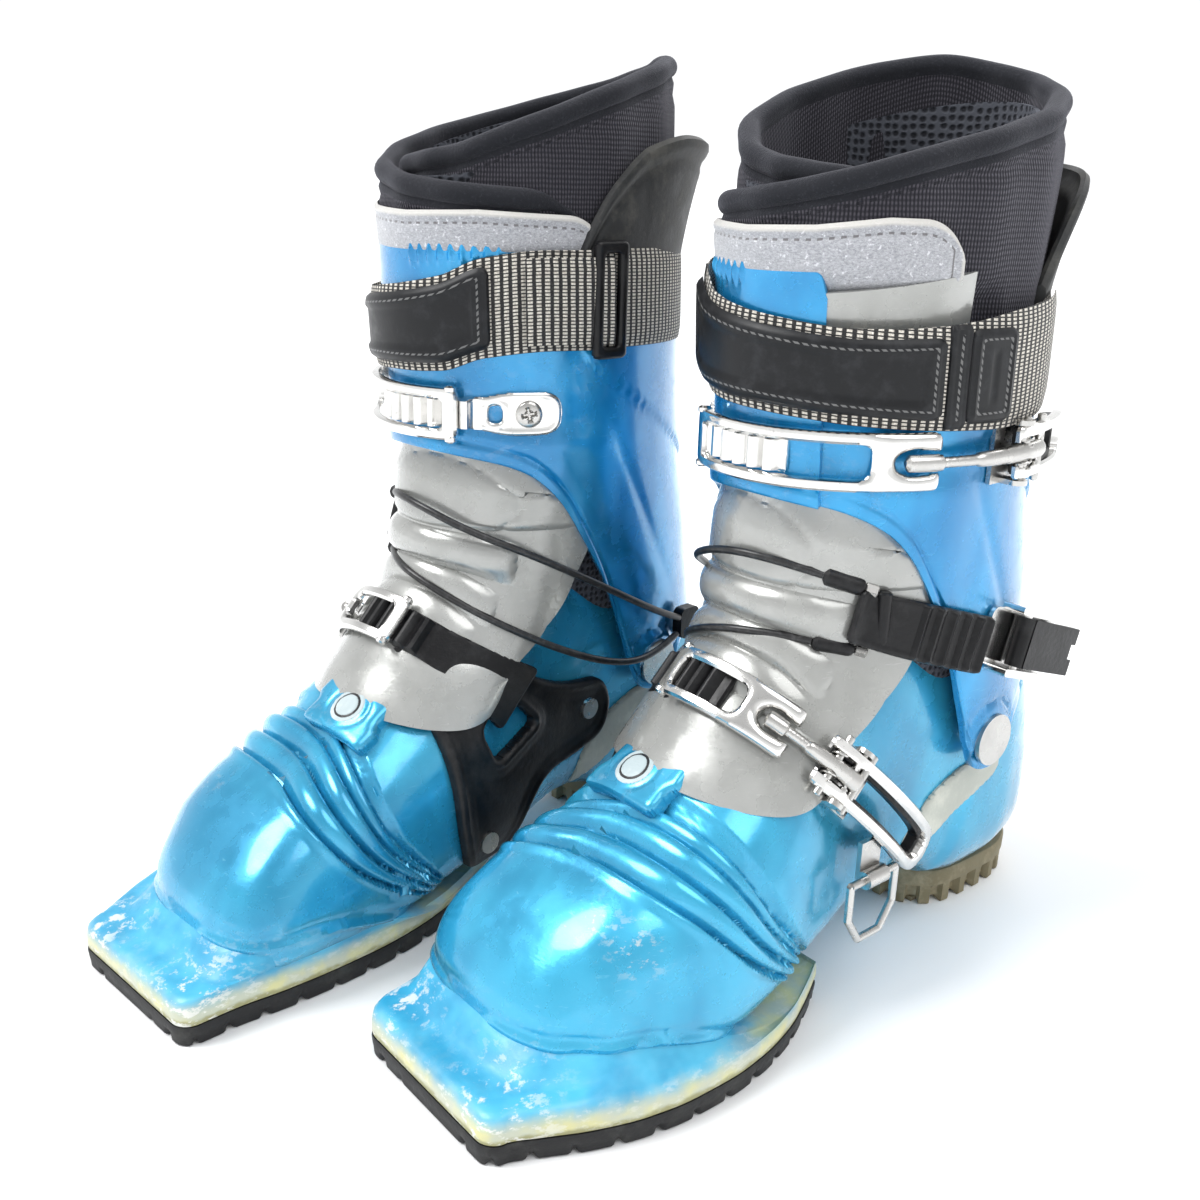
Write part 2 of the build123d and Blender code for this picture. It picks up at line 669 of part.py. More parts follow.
loop_low = STRAP_LOW + 4
loop_high = STRAP_HIGH + 1
loop_skin = STRAP_THICK + 0.2
loop_outside = band(Plane.XY, STRAP_OVAL, -174, -160, loop_low, loop_high, loop_skin, STRAP_THICK + 4)
loop_hole = band(Plane.XY, STRAP_OVAL, -171, -163, loop_low + 4, loop_high - 5, STRAP_THICK, STRAP_THICK + 5)
with BuildPart() as strap_loop:
    add(loop_outside)
    add(loop_hole, mode=Mode.SUBTRACT)
keep("power_strap", power_strap.part, strap_loop.part)

patch_band = band(Plane.XY, STRAP_OVAL, -122, -2, 221, 254, STRAP_THICK + 0.2, STRAP_THICK + 3.4)
with BuildPart() as strap_patch:
    add(patch_band)
keep("strap_patch", strap_patch.part)

# ---- ankle: ratchet on the cuff, ribbed strap, two cables to an anchor on the inner side ----
ankle_plane = tilted(ANKLE_TILT)
ankle_band = band(ankle_plane, ANKLE_OVAL, -46, 1, ANKLE_LOW, ANKLE_HIGH, 0, 3)
with BuildPart() as ankle_strap:
    add(ankle_band)
keep("ankle_strap", ankle_strap.part)

ferrules = (
    ((41, 9, 160), (27.5, -6.5, 166)),
    ((41, 9.5, 137.5), (27, -9, 142)),
)
upper_route = (
    (27.5, -6.5, 166),
    (13, -17, 171),
    (-8, -20, 170),
    (-28, -11.5, 162),
    (-45, 9, 150),
    (-54.5, 38, 133),
    (-55.5, 69, 116),
    (-54, 86, 108.6),
)
lower_route = (
    (27, -9, 142),
    (9, -20.5, 144),
    (-12, -21, 139),
    (-34, -9, 127),
    (-49, 15, 111),
    (-56, 42, 99),
    (-56.5, 66, 96),
    (-54, 85, 101.2),
)
cables = []
for (inner_end, outer_end), route in zip(ferrules, (upper_route, lower_route)):
    cables.append(rod(inner_end, outer_end, FERRULE_RADIUS))
    cables.append(tube_along(route, CABLE_RADIUS))
keep("ankle_cables", *cables)

with BuildPart() as cable_anchor:
    with Locations((-52.5, 93, 105)):
        Box(5, 12, 14)
    fillet(cable_anchor.edges().filter_by(Axis.X), 3)
keep("cable_anchor", cable_anchor.part)

ratchet_plane = Plane(
    origin=(RATCHET_X, RATCHET_Y, RATCHET_Z),
    x_dir=(0, cos(radians(ANKLE_TILT)), -sin(radians(ANKLE_TILT))),
    z_dir=(1, 0, 0),
)
with BuildPart() as ratchet_base:
    with BuildSketch(ratchet_plane):
        RectangleRounded(46, 22, 4)
    extrude(amount=1.6)
    for side in (-1, 1):
        with BuildSketch(ratchet_plane.offset(1)):
            with Locations((-2, side * 12)):
                RectangleRounded(30, 3, 1.2)
        extrude(amount=9)
    with BuildSketch(ratchet_plane.offset(1)):
        Rectangle(20, 23)
    extrude(amount=0.6)
    with Locations(ratchet_plane * Location((RATCHET_PIN, 0, RATCHET_PIN_HEIGHT))):
        Cylinder(PIN, 25, rotation=(90, 0, 0))
keep("ratchet_base", ratchet_base.part)

with BuildPart() as ratchet_lever:
    with BuildSketch(ratchet_plane.offset(RATCHET_PIN_HEIGHT + 0.5)):
        with Locations((RATCHET_PIN + 17, 0)):
            Rectangle(34, 19)
        with Locations((RATCHET_PIN + 34, 0)):
            Rectangle(6, 6, mode=Mode.SUBTRACT)
    extrude(amount=3.5)
    with Locations(ratchet_plane * Location((RATCHET_PIN, 0, RATCHET_PIN_HEIGHT))):
        Cylinder(3.6, 19, rotation=(90, 0, 0))
        Cylinder(PIN + PIN_PLAY, 30, rotation=(90, 0, 0), mode=Mode.SUBTRACT)
keep("ratchet_lever", ratchet_lever.part)

# ---- walk lock: lever on the cuff's back, steel bar on the shell's heel ----
walk_side = (
    (WALK_PIN_Y - 3.2, WALK_PIN_Z),
    (WALK_PIN_Y + 3.2, WALK_PIN_Z),
    (WALK_PIN_Y + 0.4, WALK_PIN_Z + 34),
    (WALK_PIN_Y - 4.4, WALK_PIN_Z + 34),
)
walk_plate = side_prism(walk_side, WALK_HALF)
with BuildPart() as walk_lever:
    add(walk_plate)
    with Locations((0, WALK_PIN_Y, WALK_PIN_Z)):
        Cylinder(3.2, 2 * WALK_HALF, rotation=(0, 90, 0))
        Cylinder(PIN + PIN_PLAY, 3 * WALK_HALF, rotation=(0, 90, 0), mode=Mode.SUBTRACT)
keep("walk_lever", walk_lever.part)

lock_sector = side_prism(((PIVOT_Y, PIVOT_Z), round_pivot(FAR, LOCK_LOW), round_pivot(FAR, LOCK_HIGH)))
with BuildPart() as lock_bar:
    with Locations((0, PIVOT_Y, PIVOT_Z)):
        Cylinder(DRUM_RADIUS + LOCK_THICK, 2 * LOCK_HALF, rotation=(0, 90, 0))
        Cylinder(DRUM_RADIUS + LOCK_GAP, 2 * LOCK_HALF, rotation=(0, 90, 0), mode=Mode.SUBTRACT)
    add(lock_sector, mode=Mode.INTERSECT)
keep("lock_bar", lock_bar.part)


# ---- both boots, in their places ----
def placed(piece, side):
    """The piece on the left boot, or its mirror image on the right boot."""
    if side == "left":
        return piece.moved(Location((SHIFT_X + HALF_SPACING, SHIFT_Y, 0)))
    turned = mirror(piece, about=Plane.YZ).moved(Location((0, 0, 0), (0, 0, TOE_IN_RIGHT)))
    return turned.moved(Location((SHIFT_X - HALF_SPACING, SHIFT_Y + STEP_RIGHT, 0)))


def main():
    """Writes every node, and prints the pair's box."""
    os.makedirs("parts", exist_ok=True)
    boxes = []
    for side in SIDES:
        for name, piece in pieces.items():
            node = placed(piece, side)
            node.label = f"{name}_{side}"
            export_step(node, f"parts/{name}_{side}.step")
            boxes.append(node.bounding_box())
    for axis in ("X", "Y", "Z"):
        low = min(getattr(box.min, axis) for box in boxes)
        high = max(getattr(box.max, axis) for box in boxes)
        print(axis, round(low, 3), round(high, 3), "centre", round((low + high) / 2, 3))


if __name__ == "__main__":
    main()
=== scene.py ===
import json
import math

import bpy
import numpy as np
from mathutils import Matrix, Vector


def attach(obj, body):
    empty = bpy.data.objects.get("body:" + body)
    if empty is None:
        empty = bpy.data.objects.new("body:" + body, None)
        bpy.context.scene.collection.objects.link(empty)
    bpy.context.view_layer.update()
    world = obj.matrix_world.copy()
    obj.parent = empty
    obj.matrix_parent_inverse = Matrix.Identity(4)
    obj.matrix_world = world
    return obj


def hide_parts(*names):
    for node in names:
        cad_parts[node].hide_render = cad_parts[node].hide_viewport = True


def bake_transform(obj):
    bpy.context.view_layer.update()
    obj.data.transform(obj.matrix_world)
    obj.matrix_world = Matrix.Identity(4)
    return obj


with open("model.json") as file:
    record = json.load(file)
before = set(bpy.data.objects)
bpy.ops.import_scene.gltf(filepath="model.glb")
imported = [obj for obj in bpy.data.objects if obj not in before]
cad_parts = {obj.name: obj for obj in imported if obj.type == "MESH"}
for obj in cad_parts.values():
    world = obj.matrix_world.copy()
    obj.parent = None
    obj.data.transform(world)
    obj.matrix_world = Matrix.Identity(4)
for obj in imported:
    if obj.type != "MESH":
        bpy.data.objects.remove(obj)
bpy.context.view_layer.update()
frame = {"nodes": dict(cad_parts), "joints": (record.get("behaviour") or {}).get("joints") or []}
MM = 0.001
SIDES = ("left", "right")
FLEX_BEHIND, FLEX_HEIGHT = 7, 9  # the toe flex joint in boot millimetres: -y and z
GRAIN_SHIFT = 0.37  # metres between the two boots' surface patterns
SHARP_ANGLE = 38
FROM_EDGE = -0.75  # how far outside a stamped outline a grid point may lie, in steps
rad = math.radians


# ---------------------------------------------------------------- boot frames
def joint_place(name):
    return Vector(next(j["pos_m"] for j in frame["joints"] if j["name"] == name))


def boot_matrix(side):
    """Boot millimetres (x outwards, y to the heel, z up) to the row frame."""
    flex = joint_place(f"toe_flex_{side}")
    pivot = joint_place(f"cuff_pivot_{side}")
    up = Vector((0, 0, 1))
    back = (pivot - flex) - up * (pivot - flex).dot(up)
    back.normalize()
    out = back.cross(up)
    if side == "right":
        out = -out
    origin = flex + back * (FLEX_BEHIND * MM) - up * (FLEX_HEIGHT * MM)
    place = Matrix((out * MM, back * MM, up * MM)).transposed().to_4x4()
    place.translation = origin
    return place


BOOT = {side: boot_matrix(side) for side in SIDES}


# ------------------------------------------------------------------ numbers
def ease(t):
    """Smooth step from 0 to 1."""
    t = np.clip(t, 0, 1)
    return t * t * (3 - 2 * t)


def bump(x, centre, width):
    """A bell curve of height 1."""
    return np.exp(-(((x - centre) / width) ** 2))


def follow(rows, x):
    """Smooth monotone curve through rows of (x, value, ...), one array per value."""
    rows = np.array(rows, float)
    xs = rows[:, 0]
    step = np.diff(xs)
    out = []
    x = np.clip(np.asarray(x, float), xs[0], xs[-1])
    k = np.clip(np.searchsorted(xs, x, side="right") - 1, 0, len(xs) - 2)
    for ys in rows[:, 1:].T:
        slope = np.diff(ys) / step
        d = np.zeros(len(xs))
        same = slope[:-1] * slope[1:] > 0
        w1 = 2 * step[1:] + step[:-1]
        w2 = step[1:] + 2 * step[:-1]
        with np.errstate(divide="ignore", invalid="ignore"):
            mid = (w1 + w2) / (w1 / slope[:-1] + w2 / slope[1:])
        d[1:-1] = np.where(same, mid, 0)
        d[0], d[-1] = slope[0], slope[-1]
        t = (x - xs[k]) / step[k]
        h = step[k]
        out.append(
            (2 * t**3 - 3 * t**2 + 1) * ys[k]
            + (t**3 - 2 * t**2 + t) * h * d[k]
            + (3 * t**2 - 2 * t**3) * ys[k + 1]
            + (t**3 - t**2) * h * d[k + 1]
        )
    return out[0] if len(out) == 1 else out


def arc_length(points):
    """How far along the line each of its points lies."""
    return np.r_[0, np.cumsum(np.linalg.norm(np.diff(points, axis=0), axis=1))]


def power(v, e):
    """A power that keeps the sign."""
    return np.sign(v) * np.abs(v) ** e


def unit(rows):
    return rows / np.linalg.norm(rows, axis=-1, keepdims=True)


def along(line, at):
    """Points of a plan line at the distances `at` from its start."""
    step = arc_length(line)
    return np.column_stack([np.interp(at, step, line[:, k]) for k in (0, 1)])


def quarter(t):
    """Rises from 0 to 1 like a quarter of a circle."""
    return np.sqrt(np.clip(1 - (1 - np.clip(t, 0, 1)) ** 2, 0, 1))


# ------------------------------------------------------------------- meshes
def lattice(points, close_u=False, close_v=False, cap=False):
    """Quads over an (nu, nv, 3) array of points."""
    nu, nv = points.shape[:2]
    verts = points.reshape(-1, 3)
    iu = np.arange(nu if close_u else nu - 1)
    iv = np.arange(nv if close_v else nv - 1)
    a, b = np.meshgrid(iu, iv, indexing="ij")
    a2, b2 = (a + 1) % nu, (b + 1) % nv
    faces = np.stack([a * nv + b, a2 * nv + b, a2 * nv + b2, a * nv + b2], -1)
    faces = [tuple(int(i) for i in f) for f in faces.reshape(-1, 4)]
    if cap:
        faces.append(tuple(range(nv - 1, -1, -1)))
        faces.append(tuple((nu - 1) * nv + i for i in range(nv)))
    return verts, faces


def join(*parts):
    verts, faces, at = [], [], 0
    for v, f in parts:
        verts.append(np.asarray(v, float).reshape(-1, 3))
        faces += [tuple(i + at for i in face) for face in f]
        at += len(verts[-1])
    return np.concatenate(verts), faces


def linked(name, data):
    obj = bpy.data.objects.new(name, data)
    bpy.context.scene.collection.objects.link(obj)
    return obj


def raw_mesh(name, verts, faces):
    mesh = bpy.data.meshes.new(name)
    mesh.from_pydata([tuple(v) for v in verts], [], faces)
    return mesh


def finished(verts, faces, thick=0.0, cutter=None):
    """A local mesh in boot millimetres, given a thickness if asked; `cutter` is cut away from it."""
    mesh = raw_mesh("local", verts, faces)
    if thick or cutter:
        obj = linked("local", mesh)
        if cutter:
            tool = linked("cutter", raw_mesh("cutter", *cutter))
            cut = obj.modifiers.new("cut", "BOOLEAN")
            cut.object = tool
            cut.operation = "DIFFERENCE"
            cut.solver = "EXACT"
        if thick:
            wall = obj.modifiers.new("thick", "SOLIDIFY")
            wall.thickness = abs(thick)
            wall.offset = -1 if thick < 0 else 1
        graph = bpy.context.evaluated_depsgraph_get()
        mesh = bpy.data.meshes.new_from_object(obj.evaluated_get(graph))
        bpy.data.objects.remove(obj)
        if cutter:
            bpy.data.objects.remove(tool)
    mesh.shade_smooth()
    mesh.set_sharp_from_angle(angle=rad(SHARP_ANGLE))
    return mesh


def vertices(mesh):
    co = np.zeros(len(mesh.vertices) * 3)
    mesh.vertices.foreach_get("co", co)
    return co.reshape(-1, 3)


def mark(mesh, name, values):
    """Store one number or vector for each point, for a material to read."""
    kind = "FLOAT_VECTOR" if np.ndim(values) == 2 else "FLOAT"
    field = "vector" if kind == "FLOAT_VECTOR" else "value"
    layer = mesh.attributes.get(name) or mesh.attributes.new(name, kind, "POINT")
    layer.data.foreach_set(field, np.asarray(values, np.float32).ravel())


def piece(name, mesh, material, body, replaces=(), turn=None):
    """The same local mesh on both boots: it rides on `body`, or stays fixed where it is when `turn` is given. The
    body and points in `turn` are not used.
    """
    local = vertices(mesh)
    for side in SIDES:
        copy = mesh.copy()
        copy.name = f"{name}_{side}"
        mark(copy, "grain", local * MM + (0, 0, GRAIN_SHIFT if side == "right" else 0))
        copy.transform(BOOT[side])
        if side == "right":
            copy.flip_normals()
        copy.materials.clear()
        copy.materials.append(material)
        obj = linked(copy.name, copy)
        if turn:
            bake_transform(obj)
        else:
            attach(obj, f"{side}_{body}")
        if replaces:
            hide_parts(*[f"{n}_{side}" for n in replaces])
    bpy.data.meshes.remove(mesh)


# ---------------------------------------------------------------- materials
class Shader:
    """The nodes of a material or world. Each method adds nodes and gives back their output socket."""

    def __init__(self, owner, **settings):
        owner.use_nodes = True
        self.owner, self.tree = owner, owner.node_tree
        self.end = next(n for n in self.tree.nodes if n.type in ("BSDF_PRINCIPLED", "BACKGROUND"))
        self.feed(**settings)

    def feed(self, **sockets):
        """Set or link sockets of the closing shader, by names such as base_color."""
        for key, value in sockets.items():
            self.plug(self.end.inputs[key.replace("_", " ").title().replace("Ior", "IOR")], value)

    def plug(self, socket, value):
        if isinstance(value, bpy.types.NodeSocket):
            self.tree.links.new(value, socket)
        elif socket.type == "RGBA":
            socket.default_value = (*value, 1.0)
        else:
            socket.default_value = value

    def node(self, kind, ins, out, **props):
        made = self.tree.nodes.new("ShaderNode" + kind)
        for key, value in props.items():
            setattr(made, key, value)
        for key, value in ins.items():
            self.plug(made.inputs[key], value)
        return made.outputs[out] if out is not None else made.outputs

    def calc(self, operation, a, b=0.0, c=0.5):
        return self.node("Math", {0: a, 1: b, 2: c}, 0, operation=operation)

    def times(self, a, b):
        return self.calc("MULTIPLY", a, b)

    def plus(self, a, b):
        return self.calc("ADD", a, b)

    def minus(self, a, b):
        return self.calc("SUBTRACT", a, b)

    def line(self, value, at, half_width):
        """1 where the value lies within half_width of `at`."""
        return self.calc("COMPARE", value, at, half_width)

    def dashes(self, value, per_metre, cut):
        """Stitches along a seam: 1 where the wave is above `cut`."""
        return self.calc("GREATER_THAN", self.calc("SINE", self.times(value, per_metre)), cut)

    def field(self, name, out="Fac"):
        return self.node("Attribute", {}, out, attribute_name=name)

    def grain(self):
        """The place at rest in metres, stored on each point before the mesh is moved onto its boot."""
        return self.field("grain", "Vector")

    def place(self):
        """The object's own coordinates, for rigid pieces."""
        return self.node("TexCoord", {}, "Object")

    def split(self, vector):
        return self.node("SeparateXYZ", {0: vector}, None)

    def stretch(self, vector, scale):
        return self.node("Mapping", {"Vector": vector, "Scale": scale}, "Vector")

    def cloud(self, vector, scale, detail=3.0, rough=0.55):
        return self.node("TexNoise", {"Vector": vector, "Scale": scale, "Detail": detail, "Roughness": rough},
            "Fac")

    def span(self, value, low, high, a=0.0, b=1.0):
        """The value eased from low..high to a..b."""
        ins = {"Value": value, "From Min": low, "From Max": high, "To Min": a, "To Max": b}
        return self.node("MapRange", ins, "Result", interpolation_type="SMOOTHSTEP")

    def mix(self, factor, a, b):
        return self.node("Mix", {0: factor, 6: a, 7: b}, 2, data_type="RGBA")

    def bump(self, height, strength, distance, under=None):
        ins = {"Height": height, "Strength": strength, "Distance": distance}
        if under is not None:
            ins["Normal"] = under
        return self.node("Bump", ins, "Normal")


def new_shader(name, **settings):
    return Shader(bpy.data.materials.new(name), **settings)


def pearl(name, deep, light, pale, scuffs=0.0, shine=0.3):
    """Moulded pearl plastic: soft flow marks, fine flake, hairline scratches."""
    g = new_shader(
        name, metallic=0.42, coat_weight=0.6, coat_roughness=0.08, specular_ior_level=0.6
    )
    grain = g.grain()
    flow = g.cloud(g.stretch(grain, (1.0, 1.0, 0.55)), 22.0, 3.0)
    colour = g.mix(g.span(flow, 0.36, 0.66), deep, light)
    flake = g.cloud(grain, 2600.0, 1.0)
    colour = g.mix(g.span(flake, 0.55, 0.85, 0.0, 0.1), colour, pale)
    hair = g.cloud(g.stretch(grain, (260.0, 60.0, 1500.0)), 1.0, 2.0, 0.7)
    colour = g.mix(g.span(hair, 0.66, 0.74, 0.0, 0.3), colour, pale)
    if scuffs:
        worn = g.field("worn")
        patchy = g.cloud(g.stretch(grain, (210.0, 150.0, 330.0)), 1.0, 7.0, 0.7)
        hit = g.times(g.span(patchy, 0.54, 0.6), worn)
        colour = g.mix(g.times(hit, scuffs), colour, (0.74, 0.75, 0.7))
    rough = g.span(g.cloud(grain, 90.0, 4.0), 0.3, 0.7, shine - 0.07, shine + 0.1)
    orange = g.cloud(grain, 330.0, 2.0)
    normal = g.bump(orange, 0.1, 0.0004)
    normal = g.bump(hair, 0.12, 0.0002, normal)
    g.feed(base_color=colour, roughness=rough, normal=normal)
    return g.owner


def rubber(name, colour_a, colour_b, roughness=0.6, coarse=420.0):
    """Rubber or matt plastic: dusty patches, scrapes and a moulded grain."""
    g = new_shader(name, specular_ior_level=0.3)
    grain = g.place()
    dust = g.cloud(grain, 60.0, 5.0, 0.7)
    colour = g.mix(g.span(dust, 0.45, 0.75), colour_a, colour_b)
    scrape = g.cloud(g.stretch(grain, (500.0, 300.0, 1600.0)), 1.0, 4.0, 0.7)
    colour = g.mix(g.span(scrape, 0.63, 0.75, 0.0, 0.35), colour, colour_b)
    rough = g.span(dust, 0.3, 0.7, roughness - 0.08, roughness + 0.12)
    normal = g.bump(g.cloud(grain, coarse, 3.0), 0.35, 0.0004)
    normal = g.bump(scrape, 0.2, 0.0003, normal)
    g.feed(base_color=colour, roughness=rough, normal=normal)
    return g.owner


def chrome(name, tint, roughness):
    """Polished metal with haze, dark specks and fine brush lines."""
    g = new_shader(name, metallic=1.0)
    grain = g.place()
    haze = g.cloud(grain, 70.0, 4.0, 0.6)
    colour = g.mix(g.span(haze, 0.35, 0.75), tint, tuple(c * 0.86 for c in tint))
    spots = g.cloud(grain, 900.0, 2.0)
    colour = g.mix(g.span(spots, 0.66, 0.8, 0.0, 0.5), colour, (0.16, 0.15, 0.14))
    hair = g.cloud(g.stretch(grain, (300.0, 2400.0, 900.0)), 1.0, 2.0)
    rough = g.span(haze, 0.3, 0.8, roughness, roughness + 0.12)
    normal = g.bump(hair, 0.05, 0.0002)
    g.feed(base_color=colour, roughness=rough, normal=normal)
    return g.owner


def knit():
    """Ribbed black knit with greyish threads, and a smooth rolled binding at the rim."""
    g = new_shader(
        "liner_knit", sheen_weight=0.35, sheen_roughness=0.45, sheen_tint=(0.55, 0.55,
            0.62), specular_ior_level=0.2
    )
    lay = g.split(g.field("lay", "Vector"))
    grain = g.grain()
    wobble = g.times(g.cloud(grain, 160.0, 2.0), 0.0006)
    u = g.plus(lay["X"], wobble)
    v = g.plus(lay["Y"], wobble)
    a = g.calc("SINE", g.times(u, 760.0 * 2 * math.pi))
    b = g.calc("SINE", g.times(v, 560.0 * 2 * math.pi))
    stitch = g.times(g.plus(g.times(a, 0.5), 0.5), g.plus(g.times(b, 0.35), 0.65))
    fuzz = g.cloud(grain, 900.0, 4.0, 0.8)
    yarn = g.mix(stitch, (0.012, 0.012, 0.016), (0.075, 0.07, 0.085))
    yarn = g.mix(g.span(fuzz, 0.6, 0.8, 0.0, 0.35), yarn, (0.13, 0.12, 0.14))
    rim = g.field("rim")
    smooth = g.mix(g.span(fuzz, 0.5, 0.8), (0.014, 0.015, 0.019), (0.045, 0.046, 0.055))
    bind = g.span(rim, 0.0105, 0.0098)
    seam = g.times(g.line(rim, 0.0116, 0.0006), g.dashes(u, 1500.0, -0.2))
    colour = g.mix(bind, yarn, smooth)
    colour = g.mix(g.times(seam, 0.8), colour, (0.012, 0.012, 0.016))
    height = g.node("Mix", {0: bind, 2: stitch, 3: g.times(fuzz, 0.6)}, 0, data_type="FLOAT")
    normal = g.bump(g.minus(height, seam), 0.7, 0.0006)
    normal = g.bump(fuzz, 0.25, 0.0004, normal)
    rough = g.span(fuzz, 0.3, 0.7, 0.82, 0.95)
    g.feed(base_color=colour, roughness=rough, normal=normal)
    return g.owner


def waffle():
    """Dark mesh lining with small round cells."""
    g = new_shader("liner_waffle", sheen_weight=0.3, sheen_tint=(0.5, 0.52, 0.6), specular_ior_level=0.2)
    cells = {"Vector": g.field("lay", "Vector"), "Scale": 330.0, "Randomness": 0.35}
    hole = g.span(g.node("TexVoronoi", cells, "Distance", voronoi_dimensions="2D"), 0.15, 0.5)
    fuzz = g.cloud(g.grain(), 1200.0, 3.0, 0.7)
    colour = g.mix(hole, (0.012, 0.013, 0.017), (0.07, 0.075, 0.09))
    colour = g.mix(g.span(fuzz, 0.55, 0.8, 0.0, 0.4), colour, (0.1, 0.1, 0.12))
    normal = g.bump(hole, 0.8, 0.0009)
    g.feed(base_color=colour, roughness=g.span(fuzz, 0.3, 0.7, 0.8, 0.95), normal=normal)
    return g.owner


def felt():
    """Silver felt with short fibres, paler along its piped edge."""
    g = new_shader("silver_felt", sheen_weight=0.6, sheen_roughness=0.5, specular_ior_level=0.25)
    grain = g.grain()
    fibre = g.cloud(g.stretch(grain, (900.0, 900.0, 1700.0)), 1.0, 4.0, 0.8)
    spots = g.cloud(grain, 700.0, 2.0, 0.6)
    colour = g.mix(g.span(fibre, 0.3, 0.7), (0.27, 0.275, 0.3), (0.52, 0.53, 0.56))
    colour = g.mix(g.span(spots, 0.6, 0.72, 0.0, 0.7), colour, (0.8, 0.81, 0.84))
    edge = g.field("rim")
    pale = g.span(edge, 0.0026, 0.0016)
    u = g.split(g.field("lay", "Vector"))["X"]
    seam = g.times(g.line(edge, 0.0046, 0.0004), g.dashes(u, 1700.0, 0.1))
    colour = g.mix(g.times(pale, 0.8), colour, (0.62, 0.60, 0.56))
    colour = g.mix(g.times(seam, 0.75), colour, (0.1, 0.09, 0.09))
    normal = g.bump(fibre, 0.45, 0.0006)
    normal = g.bump(seam, -0.5, 0.0006, normal)
    g.feed(base_color=colour, roughness=g.span(fibre, 0.3, 0.7, 0.75, 0.95), normal=normal)
    return g.owner


def webbing():
    """Black webbing with rows of cream picks: `lay` runs along and across it in metres."""
    g = new_shader("webbing", sheen_weight=0.2, specular_ior_level=0.3)
    lay = g.split(g.field("lay", "Vector"))
    grain = g.grain()
    wobble = g.times(g.minus(g.cloud(grain, 240.0, 2.0), 0.5), 0.0006)
    u = g.plus(lay["X"], wobble)
    column = g.times(u, 1 / 0.0031)
    row = g.times(lay["Y"], 1 / 0.0013)
    cu = g.calc("ABSOLUTE", g.minus(g.calc("FRACT", column), 0.5))
    cv = g.calc("ABSOLUTE", g.minus(g.calc("FRACT", row), 0.5))
    pick = g.times(g.span(cu, 0.33, 0.24), g.span(cv, 0.4, 0.26))
    fuzz = g.cloud(grain, 1500.0, 3.0, 0.7)
    black = g.mix(g.span(fuzz, 0.4, 0.75), (0.012, 0.012, 0.013), (0.06, 0.058, 0.056))
    pale = g.mix(g.span(fuzz, 0.35, 0.7), (0.5, 0.46, 0.4), (0.85, 0.82, 0.74))
    colour = g.mix(g.times(pick, lay["Z"]), black, pale)
    ridge = g.plus(g.times(pick, 0.7), g.times(fuzz, 0.3))
    normal = g.bump(ridge, 0.8, 0.0007)
    g.feed(base_color=colour, roughness=g.span(fuzz, 0.3, 0.7, 0.7, 0.9), normal=normal)
    return g.owner


SHELL = pearl("shell_pearl", (0.014, 0.26, 0.46), (0.04, 0.41, 0.65), (0.25, 0.7, 0.9), scuffs=0.7,
    shine=0.25)
CUFF = pearl("cuff_pearl", (0.006, 0.20, 0.46), (0.02, 0.34, 0.68), (0.15, 0.6, 0.9), scuffs=0.3, shine=0.22)
TONGUE = pearl("tongue_pearl", (0.33, 0.335, 0.32), (0.43, 0.435, 0.42), (0.7, 0.71, 0.69), scuffs=0.3,
    shine=0.25)
SOLE_BLACK = rubber("sole_black", (0.012, 0.012, 0.013), (0.05, 0.05, 0.048), 0.55)
HEEL_TAN = rubber("heel_tan", (0.20, 0.17, 0.10), (0.36, 0.32, 0.22), 0.6)
STRAP_BLACK = rubber("strap_black", (0.005, 0.005, 0.006), (0.022, 0.022, 0.023), 0.36)
PATCH_BLACK = rubber("patch_black", (0.02, 0.021, 0.023), (0.05, 0.051, 0.055), 0.33, 200.0)
SPOILER_BLACK = rubber("spoiler_black", (0.03, 0.031, 0.032), (0.09, 0.088, 0.08), 0.5)
CHROME = chrome("chrome", (0.80, 0.79, 0.77), 0.13)
STEEL = chrome("steel", (0.58, 0.57, 0.55), 0.24)
KNIT = knit()
WAFFLE = waffle()
FELT = felt()
WEB = webbing()


# --------------------------------------------------------------- foot shell
# y, half-width, top, underside, height of the widest line, squareness of the top, middle x
FOOT = (
    (-134.5, 0.4, 28.5, 18.0, 24, 0.70, -4.0),
    (-133.8, 15, 33, 16, 24, 0.68, -4.0),
    (-131.5, 25, 39.5, 15, 25, 0.62, -4.0),
    (-127, 33.5, 46.5, 14, 27, 0.58, -3.6),
    (-120, 39.2, 53.8, 13, 29, 0.54, -3.2),
    (-110, 44.5, 62.2, 13, 29, 0.52, -0.3),
    (-95, 47.3, 70.8, 12, 30, 0.50, 1.4),
    (-80, 49.6, 76.5, 11, 31, 0.52, 2.9),
    (-60, 51.2, 88, 10, 33, 0.62, 3.8),
    (-40, 50.6, 103, 11, 36, 0.76, 3.4),
    (-25, 48.8, 118, 12, 42, 0.78, 1.8),
    (-10, 46.2, 130, 12, 46, 0.76, 0.6),
    (10, 43.0, 140, 19, 50, 0.60, 0),
    (30, 41.2, 148, 25, 52, 0.46, 0),
    (60, 40.8, 150, 23, 55, 0.40, 0),
    (85, 41.4, 146, 17, 58, 0.40, 0),
    (105, 40.6, 134, 16.5, 60, 0.45, 0),
    (120, 37.2, 120, 16.5, 60, 0.55, 0),
    (130, 33.2, 102, 16.5, 56, 0.65, 0),
    (138, 28.8, 84, 16.5, 48, 0.75, 0),
    (145, 22.5, 62, 16.5, 38, 0.85, 0),
    (149, 14.5, 44, 16.5, 30, 0.90, 0),
    (151, 6, 32, 17, 25, 0.95, 0),
    (151.6, 0.4, 26, 22, 24, 1.0, 0),
)
BALL = (-7.0, 9.0)
SHELL_WALL = 3.2
BELLOWS = ("foot", (0, -66.9, 54.1), (0, -47.8, 71.9))  # body and two points of the stretch over the toe flex
